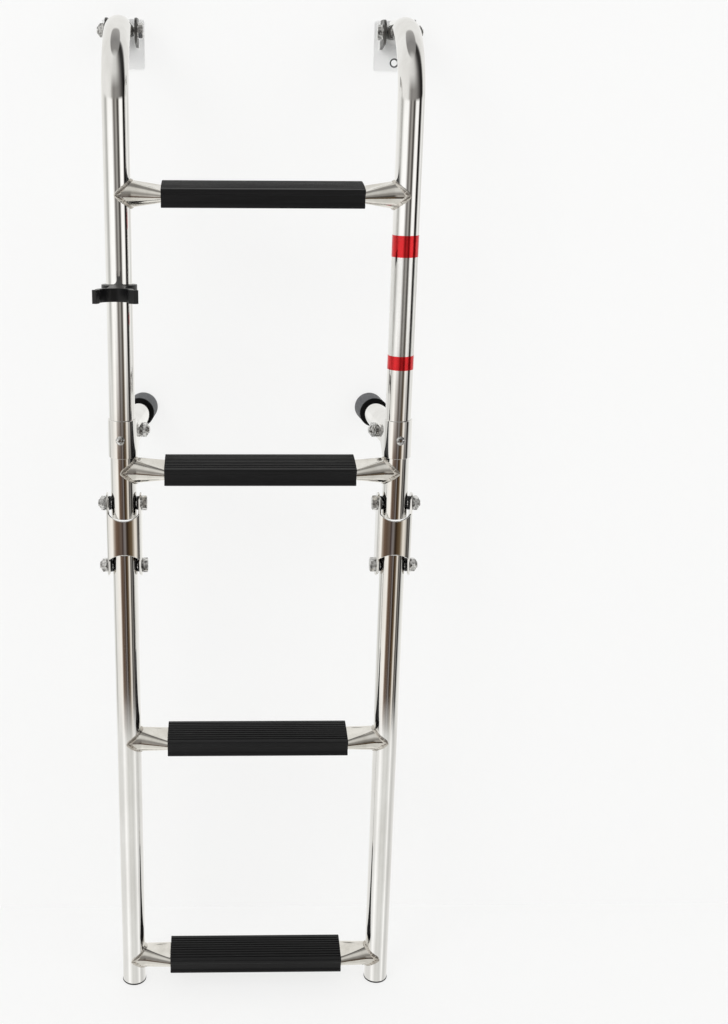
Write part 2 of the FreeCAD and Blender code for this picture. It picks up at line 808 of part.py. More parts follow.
def storage_clip():
    """Double jaw in one moulding, with a wider guide lip inboard.

    It is drawn in plan and extruded, then cut above and below on a slant, so that its jaw stands higher than
    its grip while both keep upright walls.
    """
    body = new_body("storage_clip")
    wall = size("clip_wall")
    grip = TUBE_RADIUS
    grip_outer = grip + wall
    jaw = TUBE_RADIUS + size("jaw_gap")
    jaw_outer = jaw + wall
    jaw_y = -size("link_pitch")
    half_web = size("clip_web") / 2
    half_slot = size("clip_back_slot") / 2
    arm_y = jaw_y - size("jaw_depth")
    tip_y = arm_y - size("lip_reach")
    tip_x = jaw + size("lip_flare")
    guide_x = jaw + size("guide_flare")
    lip = size("lip_thickness")
    web_front = jaw_y + leg(jaw_outer, half_web)
    web_back = -leg(grip_outer, half_web)
    slot_outer = leg(grip_outer, half_slot)
    slot_inner = leg(grip, half_slot)
    plan = new_sketch(body, "XY_Plane", "ClipSection")
    draw_path(plan, (-jaw, jaw_y), [
        (-jaw, arm_y),
        (-tip_x, tip_y),
        (-tip_x - lip, tip_y + lip / 2),
        (-jaw_outer, arm_y),
        (-jaw_outer, jaw_y),
        (-half_web, web_front, ZERO, jaw_y, "right"),
        (-half_web, web_back),
        (-half_slot, slot_outer, ZERO, ZERO, "right"),
        (-half_slot, slot_inner),
        (half_slot, slot_inner, ZERO, ZERO, "left"),
        (half_slot, slot_outer),
        (half_web, web_back, ZERO, ZERO, "right"),
        (half_web, web_front),
        (jaw_outer, jaw_y, ZERO, jaw_y, "right"),
        (jaw_outer, arm_y),
        (guide_x + lip, tip_y + lip / 2),
        (guide_x, tip_y),
        (jaw, arm_y),
        (jaw, jaw_y),
        (-jaw, jaw_y, ZERO, jaw_y, "left"),
    ])
    slope = sine(size("clip_rise")) / cosine(size("clip_rise"))
    half_height = size("clip_height") / 2
    front, back = tip_y - wall, grip_outer + wall
    half_block = half_height - front * slope
    pad(body, plan, half_block * 2, symmetric=True)
    doc.recompute()
    slants = new_sketch(body, "YZ_Plane", "TopAndBottomSlants")
    for sign in (1, -1):
        draw_path(slants, (front, half_height * sign - front * slope), [
            (back, half_height * sign - back * slope),
            (back, (half_block + wall) * sign),
            (front, (half_block + wall) * sign),
            (front, half_height * sign - front * slope),
        ])
    pocket_through(body, slants)
    put(body, RAIL_X["left"], RAIL_Y, CLIP_Z)
    return keep(body)


# Assembly

EAR_GRIP = (TUBE_RADIUS + size("ear_play") + size("plate_thickness")) * 2
CLASP_GRIP = (TUBE_RADIUS + size("clasp_wall")) * 2
for side in ("left", "right"):
    inboard = INBOARD[side]
    x = RAIL_X[side]
    hinge_bracket(side)
    hex_bolt(f"{side}_hinge_bolt", x, HINGE_Y, HINGE_Z, EAR_GRIP, inboard)
    upper_rail(side)
    standoff_clasp(side)
    hex_bolt(f"{side}_standoff_bolt", PIVOT_X[side], PIVOT_Y, CLASP_Z, CLASP_GRIP, -inboard, TOE_IN * inboard)
    standoff_tube(side)
    standoff_cap(side)
    fold_link(side)
    link_spacers(side)
    hex_bolt(f"{side}_top_link_bolt", x, RAIL_Y, TOP_LINK_Z, size("link_width"), inboard)
    hex_bolt(f"{side}_bottom_link_bolt", x, RAIL_Y, BOTTOM_LINK_Z, size("link_width"), inboard)
    lower_rail(side)
    foot_plug(side)
for name, z in (("first", FIRST_RUNG_Z), ("second", SECOND_RUNG_Z),
                ("third", THIRD_RUNG_Z), ("bottom", BOTTOM_RUNG_Z)):
    rung(f"{name}_rung", z)
    tread(f"{name}_tread", z)
storage_clip()
doc.recompute()

# Every feature is sound before anything is written
for item in doc.Objects:
    if "Invalid" in item.State or "Error" in item.State:
        raise ValueError(f"{item.Label} did not compute: {item.State}")
for item in SUBPARTS:
    if item.Shape.isNull() or not item.Shape.isValid():
        raise ValueError(f"{item.Label} has no valid shape")

os.makedirs("parts", exist_ok=True)
for item in SUBPARTS:
    item.Shape.exportStep(f"parts/{item.Label}.step")
    print(f"{item.Label}: {item.Shape.Volume / 1000:.2f} cm3, {len(item.Shape.Solids)} solids")
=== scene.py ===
"""Looks of a folding boat boarding ladder: polished tube, ribbed treads, fold links and fittings.

Lengths are in millimetres until a mesh is made. X runs from the left rail to the right one,
+Y points into the hull and +Z is up, with the origin on the hull face of the left bracket.
"""
import logging
import math
from dataclasses import dataclass, field
from enum import Enum
from typing import Any

import bmesh
import bpy
import numpy as np
from mathutils import Matrix, Vector

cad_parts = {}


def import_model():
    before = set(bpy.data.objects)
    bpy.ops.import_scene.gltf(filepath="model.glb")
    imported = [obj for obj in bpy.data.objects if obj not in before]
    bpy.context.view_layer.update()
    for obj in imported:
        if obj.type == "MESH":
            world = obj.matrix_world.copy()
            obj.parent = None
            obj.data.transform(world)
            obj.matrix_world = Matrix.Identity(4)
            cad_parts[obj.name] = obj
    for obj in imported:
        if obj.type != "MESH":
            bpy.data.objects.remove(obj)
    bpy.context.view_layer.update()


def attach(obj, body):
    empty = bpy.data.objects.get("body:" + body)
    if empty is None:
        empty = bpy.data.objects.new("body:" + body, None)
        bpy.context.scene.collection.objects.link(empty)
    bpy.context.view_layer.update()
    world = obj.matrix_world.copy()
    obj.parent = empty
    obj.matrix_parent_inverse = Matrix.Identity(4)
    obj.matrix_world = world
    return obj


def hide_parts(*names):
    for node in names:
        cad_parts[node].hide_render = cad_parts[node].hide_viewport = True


Array = np.ndarray
Scale = float | tuple[float, float, float]
Tree = bpy.types.NodeTree
Node = bpy.types.Node
Socket = bpy.types.NodeSocket

LOG = logging.getLogger("boat_ladder")
MM = 0.001
TAU = 2 * math.pi
MERGE = 2e-6  # metres
CREASE = 35.0  # degrees
STEEL = "polished_stainless"
COLOUR = {"data_type": "RGBA"}


# Layout


class Side(Enum):
    """The two rails, as the photograph's viewer sees them."""

    LEFT = "left"
    RIGHT = "right"


class Body(Enum):
    """The rigid bodies that pieces ride on."""

    BRACKETS = "brackets"
    UPPER = "upper_frame"
    LINKS = "fold_links"
    LOWER = "lower_frame"
    LEFT_STANDOFF = "left_standoff"
    RIGHT_STANDOFF = "right_standoff"


@dataclass(frozen=True)
class Layout:
    """Where the ladder's main parts sit."""

    tube_radius: float = 12.7
    tube_wall: float = 1.2
    rail_spacing: float = 272.0
    rail_y: float = -138.0
    hinge_y: float = -31.0
    hinge_z: float = 12.0
    hook_radius: float = 65.0
    hook_tail: float = 14.0
    rail_stub: float = 14.0
    top_link_z: float = -438.0
    bottom_link_z: float = -504.0
    foot_z: float = -998.0
    clasp_z: float = -370.1
    clasp_pivot: float = 33.0
    toe_in: float = 6.0
    rung_tilt: float = 8.0
    rung_flat_width: float = 33.05
    rung_flat_height: float = 12.0
    tread_length: float = 189.6
    rungs: tuple[tuple[str, float, Body], ...] = (
        ("first", -135.3, Body.UPPER), ("second", -403.7, Body.UPPER),
        ("third", -700.3, Body.LOWER), ("bottom", -968.7, Body.LOWER))

    @property
    def middle_x(self) -> float:
        """Halfway between the rails."""
        return self.rail_spacing / 2


LAYOUT = Layout()


def on_side(points: Array, side: Side) -> Array:
    """Points modelled round the left rail, mirrored about the middle for the right one.

    Args:
        points: an array that ends in x, y, z.
        side: the rail they belong to.

    Returns:
        The points in the row frame.
    """
    if side is Side.LEFT:
        return points
    mirrored = points.copy()
    mirrored[..., 0] = LAYOUT.rail_spacing - mirrored[..., 0]
    return mirrored


def spun(points: Array, degrees: float, first: int, second: int) -> Array:
    """Points turned in one plane: a' = a cos - b sin and b' = a sin + b cos.

    Args:
        points: an array that ends in x, y, z.
        degrees: how far, from the first axis towards the second.
        first: number of the axis a.
        second: number of the axis b.

    Returns:
        The turned points.
    """
    cosine, sine = math.cos(math.radians(degrees)), math.sin(math.radians(degrees))
    result = points.copy()
    result[..., first] = points[..., first] * cosine - points[..., second] * sine
    result[..., second] = points[..., first] * sine + points[..., second] * cosine
    return result


def toed(points: Array) -> Array:
    """Points about the left rail's axis, turned so that +Y leans inboard by the toe-in."""
    return spun(points, -LAYOUT.toe_in, 0, 1)


def on_rung(points: Array, z: float) -> Array:
    """Points about a rung's middle, tilted with it and set between the rails at its height."""
    return spun(points, LAYOUT.rung_tilt, 1, 2) + [LAYOUT.middle_x, LAYOUT.rail_y, z]


def round_steps(count: int) -> Array:
    """Equal steps round a full turn, in radians."""
    return np.arange(count) * (TAU / count)


def unit(vectors: Array) -> Array:
    """Rows scaled to a length of 1."""
    return vectors / np.linalg.norm(vectors, axis=1, keepdims=True)


# Surfaces


@dataclass
class Surface:
    """A piece's skin, gathered from grids of points in millimetres that close round their columns."""

    name: str
    points: list[Array] = field(default_factory=list)
    quads: list[Array] = field(default_factory=list)
    count: int = 0

    def grid(self, points: Array, ring: bool = False) -> "Surface":
        """Adds rows and columns of points as quads between neighbours.

        Args:
            points: an array of rows, columns and x, y, z.
            ring: join the last row to the first one.

        Returns:
            The surface itself, so that grids can be chained.
        """
        rows, columns = points.shape[:2]
        here, across = np.meshgrid(np.arange(rows if ring else rows - 1), np.arange(columns), indexing="ij")
        below, beside = (here + 1) % rows, (across + 1) % columns
        corners = [here * columns + across, below * columns + across,
                   below * columns + beside, here * columns + beside]
        self.quads.append(np.stack(corners, axis=-1).reshape(-1, 4) + self.count)
        self.points.append(points.reshape(-1, 3))
        self.count += rows * columns
        return self

    def build(self, crease: float = CREASE) -> bpy.types.Object:
        """Makes the mesh object, with seams merged and faces pointing outwards.

        Args:
            crease: edges that turn by more than this many degrees are shown sharp.

        Returns:
            The object, at the origin, with its place in its mesh.
        """
        mesh = bpy.data.meshes.new(self.name)
        mesh.from_pydata((np.concatenate(self.points) * MM).tolist(), [], np.concatenate(self.quads).tolist())
        return finish_mesh(mesh, self.name, crease)


def placed_object(name: str, data: bpy.types.ID) -> bpy.types.Object:
    """A mesh, lamp or camera as an object of the scene.

    Args:
        name: the object's name.
        data: the mesh, lamp or camera.

    Returns:
        The object.
    """
    result = bpy.data.objects.new(name, data)
    bpy.context.scene.collection.objects.link(result)
    return result


def finish_mesh(mesh: bpy.types.Mesh, name: str, crease: float) -> bpy.types.Object:
    """Merges doubles, turns faces outwards and sets smooth shading with sharp creases.

    Args:
        mesh: the mesh to finish.
        name: the piece's name.
        crease: angle in degrees past which an edge is sharp.

    Returns:
        A linked object that holds the mesh.
    """
    work = bmesh.new()
    work.from_mesh(mesh)
    bmesh.ops.remove_doubles(work, verts=work.verts, dist=MERGE)
    bmesh.ops.dissolve_degenerate(work, edges=work.edges, dist=MERGE / 2)
    bmesh.ops.recalc_face_normals(work, faces=work.faces)
    work.to_mesh(mesh)
    work.free()
    mesh.shade_smooth()
    mesh.set_sharp_from_angle(angle=math.radians(crease))
    return placed_object(name, mesh)


def spin(x: Array, radius: Array) -> Array:
    """Rings about the X axis: (x, r cos t, r sin t).

    Args:
        x: stations along the axis.
        radius: for each station and each step round the axis.

    Returns:
        Rows of rings of points.
    """
    angles = round_steps(radius.shape[1])
    return np.stack([x[:, None] + 0 * radius, radius * np.cos(angles), radius * np.sin(angles)], axis=-1)


def lathe(profile: Array, count: int = 64) -> Array:
    """Turns a profile about the X axis.

    Args:
        profile: rows of radius and x, from pole to pole or closed.
        count: steps round the axis.

    Returns:
        Rows of rings of points.
    """
    return spin(profile[:, 1], np.repeat(profile[:, :1], count, axis=1))


def rounded(corners: Array, reach: float, steps: int = 5) -> Array:
    """Rounds a closed outline: each corner becomes a quadratic curve between points on its two sides.

    Args:
        corners: rows of two coordinates, in order.
        reach: how far each curve starts from its corner, at most 0.45 of the side.
        steps: points per corner.

    Returns:
        Rows of two coordinates.
    """
    before, after = np.roll(corners, 1, axis=0) - corners, np.roll(corners, -1, axis=0) - corners
    start, end = (corners + edge / length * np.minimum(reach, 0.45 * length) for edge, length in
                  ((edge, np.linalg.norm(edge, axis=1, keepdims=True)) for edge in (before, after)))
    t = np.linspace(0, 1, steps)[None, :, None]
    curve = (1 - t) ** 2 * start[:, None] + 2 * t * (1 - t) * corners[:, None] + t ** 2 * end[:, None]
    return curve.reshape(-1, 2)


def sweep(path: Array, across: Array, over: Array, radius: Array, count: int) -> Array:
    """Carries a circle along a path: centre + r (across cos t + over sin t).

    Args:
        path: rows of centres.
        across: rows of unit vectors square to the path.
        over: rows of unit vectors square to both.
        radius: one for each row.
        count: steps round the path.

    Returns:
        Rows of rings of points.
    """
    angles = round_steps(count)[:, None]
    spokes = across[:, None] * np.cos(angles) + over[:, None] * np.sin(angles)
    return path[:, None] + radius[:, None, None] * spokes


def strap(plan: Array, high: Array, thickness: float, steps: int, edge: float) -> Array:
    """A bent strip of sheet: each plan point is carried from its low to its high edge on both faces.

    Args:
        plan: rows of x, y along the middle of the sheet.
        high: height of the upper edge at each plan point, as far above 0 as the lower edge is below it.
        thickness: of the sheet.
        steps: points up each face.
        edge: rounding of the cut edges.

    Returns:
        A grid that is closed along its columns, with both ends drawn together.
    """
    along = unit(np.gradient(plan, axis=0))
    normal = np.stack([along[:, 1], -along[:, 0]], axis=1)
    half = thickness / 2
    rise = np.linspace(0, 1, steps)
    ease = np.interp(rise, [0, 1], [edge, -edge])
    shift = np.concatenate([np.full(steps, half), [half - edge, edge - half], np.full(steps, -half),
                            [edge - half, half - edge]])
    share = np.concatenate([rise, [1, 1], rise[::-1], [0, 0]])
    inset = np.concatenate([ease, [0, 0], ease[::-1], [0, 0]])
    room = 2 * high[:, None]
    height = share * room - high[:, None] + inset * np.minimum(1, room / (4 * edge))
    place = plan[:, None] + normal[:, None] * shift[:, None]
    grid = np.concatenate([place, height[..., None]], axis=-1)
    ends = [np.concatenate([plan[i] + 0 * place[i], height[i][:, None]], axis=-1)[None] for i in (0, -1)]
    return np.concatenate([ends[0], grid, ends[1]])


# Finishes


def linear(code: str) -> tuple[float, float, float, float]:
    """Turns an sRGB colour v to a linear one: v / 12.92, or ((v + 0.055) / 1.055) ^ 2.4 above 0.04045.

    Args:
        code: a hex code such as '#8A8A8A'.

    Returns:
        Linear red, green and blue, and an alpha of 1.
    """
    values = np.array([int(code[i:i + 2], 16) / 255 for i in (1, 3, 5)])
    values = np.where(values <= 0.04045, values / 12.92, ((values + 0.055) / 1.055) ** 2.4)
    return (*values.tolist(), 1.0)


def add_node(tree: Tree, kind: str, settings: dict[str, Any] | None = None, **inputs: Any) -> Node:
    """Adds a node with its settings, values and links.

    Args:
        tree: the node tree.
        kind: the node's type name after "ShaderNode".
        settings: attributes of the node itself.
        inputs: values, sockets or nodes for its inputs, with _ for a space and _N for input N. A node
            gives the first of its outputs that is in use.

    Returns:
        The node.
    """
    node = tree.nodes.new(f"ShaderNode{kind}")
    for key, value in (settings or {}).items():
        setattr(node, key, value)
    for key, value in inputs.items():
        index = key[1:]
        socket = node.inputs[int(index)] if index.isdigit() else node.inputs[key.replace("_", " ")]
        if isinstance(value, Node):
            value = next(output for output in value.outputs if output.enabled)
        if isinstance(value, Socket):
            tree.links.new(value, socket)
        else:
            socket.default_value = value
    return node


def pattern(tree: Tree, scale: Scale, detail: float = 3.0, rough: float = 0.5) -> Node:
    """Noise in object space.

    Args:
        tree: the node tree.
        scale: features per metre, alike all ways or along x, y and z.
        detail: octaves.
        rough: how strong the finer octaves are.

    Returns:
        The noise node.
    """
    mapping = add_node(tree, "Mapping", Vector=add_node(tree, "TexCoord").outputs["Object"],
                       Scale=scale if isinstance(scale, tuple) else (scale, scale, scale))
    return add_node(tree, "TexNoise", Vector=mapping, Scale=1.0, Detail=detail, Roughness=rough)


def span(tree: Tree, value: Node, low: float, high: float) -> Node:
    """Maps noise of about 0.3 to 0.7 onto low to high."""
    return add_node(tree, "MapRange", _0=value, _1=0.3, _2=0.7, _3=low, _4=high)


@dataclass(frozen=True)
class Finish:
    """A material, named for what the surface is."""

    name: str

    def surface(self, tree: Tree) -> Node:
        """The shader that this kind of surface has."""
        raise NotImplementedError

    def build(self) -> bpy.types.Material:
        """Makes the material.

        Returns:
            The material, with its nodes.
        """
        material = bpy.data.materials.new(self.name)
        material.use_nodes = True
        material.node_tree.nodes.clear()
        add_node(material.node_tree, "OutputMaterial", Surface=self.surface(material.node_tree))
        return material


@dataclass(frozen=True)
class PolishedStainless(Finish):
    """Buffed stainless tube: near-white mirror, a trace warm, with soft waves and faint wipe marks.

    The marks are hand-sized smudges of 20 to 80 mm, and wipe lines 1 mm apart that run 40 mm up the tube. In the
    bright fastener finish the smudge colour is near black: a painted reflection and shade, dark patches that stand
    for dark reflections and the shade between head, washer and nut.
    """

    name: str = STEEL
    tone: str = "#EFEEEC"
    shade: str = "#E2E0DD"
    roughness: float = 0.045
    smear: float = 0.05
    wave: float = 0.05
    patch: Scale = (45.0, 45.0, 12.0)
    line: Scale = (900.0, 900.0, 25.0)
    swell: Scale = (22.0, 22.0, 9.0)

    def surface(self, tree: Tree) -> Node:
        """Smudges tint and roughen the mirror, and a slow swell bends it. On the fastener finish the tint is a
        near-black painted reflection.

        Args:
            tree: the material's node tree.

        Returns:
            The shader.
        """
        smudge_and_painted_mottle = pattern(tree, self.patch, 4.0, 0.6)
        colour = add_node(tree, "Mix", COLOUR, Factor=span(tree, smudge_and_painted_mottle, 0.0, 1.0), _6=linear(self.tone),
                          _7=linear(self.shade))
        rough = add_node(tree, "Math", {"operation": "ADD"},
                         _0=span(tree, smudge_and_painted_mottle, self.roughness * 0.7, self.roughness + self.smear * 0.6),
                         _1=span(tree, pattern(tree, self.line, 2.0), 0.0, self.smear * 0.25))
        bump = add_node(tree, "Bump", Strength=self.wave, Distance=0.004, Height=pattern(tree, self.swell, 2.0))
        return add_node(tree, "BsdfPrincipled", Base_Color=colour, Metallic=1.0, Roughness=rough, Normal=bump)


@dataclass(frozen=True)
class SatinBracket(Finish):
    """Stamped stainless bracket: a pale tumbled plate, and ears in painted shade, darker for the shadow and dark
    reflection between ear and tube.
    """

    name: str = "satin_bracket"
    plate: str = "#FDFDFB"
    # painted shade: the ears' dark colour stands for the shadow and dark reflection between ear and tube
    ear: str = "#5C5B59"
    plate_depth: float = -0.0045
    shaded_ear_depth: float = -0.011

    def surface(self, tree: Tree) -> Node:
        """Darkens from plate to ear with the depth as painted shade, under a tumbled grain of about 1 mm.

        Args:
            tree: the material's node tree.

        Returns:
            The shader.
        """
        place = add_node(tree, "TexCoord").outputs["Object"]
        depth = add_node(tree, "SeparateXYZ", Vector=place).outputs["Y"]
        ear_shade_share = add_node(tree, "MapRange", _0=depth, _1=self.plate_depth, _2=self.shaded_ear_depth, _3=0.0, _4=1.0)
        # painted shade: the colour darkens from plate to ears with the depth
        colour = add_node(tree, "Mix", COLOUR, Factor=ear_shade_share, _6=linear(self.plate), _7=linear(self.ear))
        metal = add_node(tree, "MapRange", _0=ear_shade_share, _3=0.1, _4=0.9)
        grain = add_node(tree, "Bump", Strength=0.15, Distance=0.0004, Height=pattern(tree, 900.0))
        return add_node(tree, "BsdfPrincipled", Base_Color=colour, Metallic=metal, Normal=grain,
                        Roughness=span(tree, pattern(tree, 120.0), 0.32, 0.44))


@dataclass(frozen=True)
class Moulded(Finish):
    """Moulded or extruded plastic and rubber: a dark body with fine grain, streaks and some dust."""

    tone: str
    dust: str
    roughness: float = 0.45
    grain: Scale = 900.0
    grain_depth: float = 0.15
    streak: Scale = 25.0
    dust_share: float = 0.5
    specular: float = 0.5

    def surface(self, tree: Tree) -> Node:
        """Streaks carry the dust and dull the gloss, over a grain in relief.

        Args:
            tree: the material's node tree.

        Returns:
            The shader.
        """
        streak = pattern(tree, self.streak, 5.0, 0.65)
        colour = add_node(tree, "Mix", COLOUR, Factor=span(tree, streak, 0.0, self.dust_share),
                          _6=linear(self.tone), _7=linear(self.dust))
        bump = add_node(tree, "Bump", Strength=self.grain_depth, Distance=0.0004, Height=pattern(tree, self.grain))
        return add_node(tree, "BsdfPrincipled", Base_Color=colour, Specular_IOR_Level=self.specular, Normal=bump,
                        Roughness=span(tree, streak, self.roughness - 0.06, self.roughness + 0.08))


@dataclass(frozen=True)
class Film(Finish):
    """Thin printed or clear vinyl wrap on the tube, glossy, which lets the steel show through."""

    tone: str
    cover: float
    mirror: float = 0.0
    roughness: float = 0.22

    def surface(self, tree: Tree) -> Node:
        """Coated vinyl over clear, uneven in patches of about 16 mm.

        Args:
            tree: the material's node tree.

        Returns:
            The shader.
        """
        vinyl = add_node(tree, "BsdfPrincipled", Base_Color=linear(self.tone), Metallic=self.mirror,
                         Roughness=self.roughness, Coat_Weight=0.4, Coat_Roughness=0.05)
        fade = span(tree, pattern(tree, 60.0), self.cover * 0.8, min(self.cover * 1.2, 0.97))
        return add_node(tree, "MixShader", _0=fade, _1=add_node(tree, "BsdfTransparent"), _2=vinyl)


@dataclass(frozen=True)
class Paper(Finish):
    """Matt white paper, nearly blown out to the eye, which from behind lets the view through where asked."""

    see_through_back: bool = False
    glow: float = 0.78

    def surface(self, tree: Tree) -> Node:
        """Lit paper, with a share of plain tone for the eye, for clear film and for polished metal.

        Args:
            tree: the material's node tree.

        Returns:
            The shader.
        """
        rays = add_node(tree, "LightPath").outputs
        seen = rays["Is Camera Ray"]
        for name in ("Is Glossy Ray", "Is Transmission Ray"):
            seen = add_node(tree, "Math", {"operation": "MAXIMUM"}, _0=seen, _1=rays[name])
        share = add_node(tree, "Math", {"operation": "MULTIPLY"}, _0=seen, _1=self.glow)
        colour = add_node(tree, "Mix", COLOUR, Factor=span(tree, pattern(tree, 700.0, 2.0), 0.98, 1.0),
                          _6=linear("#EDEDEC"), _7=linear("#F4F4F3"))
        result = add_node(tree, "MixShader", _0=share, _1=add_node(tree, "BsdfDiffuse", Color=colour),
                          _2=add_node(tree, "Emission", Color=linear("#FDFDFC"), Strength=1.0))
        if self.see_through_back:
            back = add_node(tree, "NewGeometry").outputs["Backfacing"]
            result = add_node(tree, "MixShader", _0=back, _1=result, _2=add_node(tree, "BsdfTransparent"))
        return result


# Grain finer than a millimetre wouldn't show in the render, so rubber, nylon and vinyl are drawn about
# as coarse as that. The vinyl's grain and streaks run along X, as it leaves the die.
FINISHES = (
    PolishedStainless(),
    # bright_fastener: the near-black smudge colour #3C3A38 is painted reflection and shade on the heads and nuts
    PolishedStainless("bright_fastener", "#F6F5F3", "#3C3A38", 0.05, 0.08, 0.9, 300.0),
    SatinBracket(),
    # painted shade: the near-black of the bracket's screw-hole bores and rims stands for the shadow inside the
    # holes
    Moulded("hole_edge", "#1C1C1B", "#2B2A29", 0.5),
    PolishedStainless("pressed_rung", "#ECE9E3", "#D2CEC6", 0.08, 0.1, 0.16),
    PolishedStainless("weld_bead", "#DAD6CF", "#A79F94", 0.16, 0.2, 0.35),
    Moulded("ribbed_pvc", "#0B0B0C", "#161617", 0.42, (30.0, 1500.0, 1500.0), 0.25, (14.0, 320.0, 320.0),
            0.7, 0.22),
    Moulded("black_nylon", "#0B0B0C", "#1B1B1C", 0.34, 700.0, 0.2, 60.0, 0.5, 0.35),
    # lit and shaded copies of the cap's black rubber: the grey is painted light on the cap's sides, the lip below
    # is the shaded copy
    Moulded("grey_rubber", "#505153", "#7E7F81", 0.66, 1100.0, 0.5, 700.0, 0.9, 0.25),
    Moulded("black_rubber_lip", "#070708", "#0E0E0F", 0.6, dust_share=0.4, specular=0.15),
    Moulded("foot_rubber", "#0F0F10", "#232324", 0.6, 1400.0, 0.3, 90.0, 0.8, 0.3),
    Film("red_band", "#DE1820", 0.88, 0.78, 0.05),
    Film("clear_wrap", "#9A9C9A", 0.025))


@dataclass
class Workshop:
    """Finishes pieces, puts them on their bodies and reports them."""

    made: dict[str, bpy.types.Material] = field(
        default_factory=lambda: {finish.name: finish.build() for finish in FINISHES})
    flat_angle: float = 1.0
    fine_crease: float = 30.0
    edge_angle: float = 40.0
    edge_steps: int = 3

    def fit(self, piece: bpy.types.Object, finish: str, body: Body, *nodes: str, slot: str = STEEL) -> None:
        """Dresses a piece and sets what it rides on and stands for.

        Args:
            piece: the new object.
            finish: name of its finish.
            body: the body it moves with.
            nodes: CAD nodes that it stands for.
            slot: not used.
        """
        piece.data.materials.clear()
        piece.data.materials.append(self.made[finish])
        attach(piece, body.value)
        if nodes:
            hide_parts(*nodes)
        LOG.info("%s: %d faces on %s", piece.name, len(piece.data.polygons), body.value)

    def make(self, name: str, points: Array, finish: str, body: Body, *nodes: str, ring: bool = False,
             crease: float = CREASE, slot: str = STEEL) -> None:
        """Makes a piece of one grid and fits it.

        Args:
            name: the piece's name.
            points: its rows of rings of points.
            finish: name of its finish.
            body: the body it moves with.
            nodes: CAD nodes that it stands for.
            ring: the last row joins the first one.
            crease: degrees past which its edges are sharp.
            slot: the record's material slot.
        """
        self.fit(Surface(name).grid(points, ring).build(crease), finish, body, *nodes, slot=slot)

    def refine(self, node: str, finish: str, body: Body, width: float, slot: str = STEEL) -> None:
        """A merged copy of a CAD node with flat faces joined and its edges rounded.

        Args:
            node: the CAD node.
            finish: name of its finish.
            body: the body it moves with.
            width: of the rounded edges, in millimetres.
            slot: the record's material slot.
        """
        mesh = bpy.data.objects[node].data.copy()
        work = bmesh.new()
        work.from_mesh(mesh)
        bmesh.ops.remove_doubles(work, verts=work.verts, dist=MERGE)
        bmesh.ops.dissolve_limit(work, angle_limit=math.radians(self.flat_angle), verts=work.verts,
                                 edges=work.edges)
        work.to_mesh(mesh)
        work.free()
        piece = finish_mesh(mesh, f"{node}_dressed", self.fine_crease)
        bevel = piece.modifiers.new("edges", "BEVEL")
        bevel.width = width * MM
        bevel.segments = self.edge_steps
        bevel.limit_method = "ANGLE"
        bevel.angle_limit = math.radians(self.edge_angle)
        bevel.harden_normals = True
        self.fit(piece, finish, body, node, slot=slot)


# Tube work


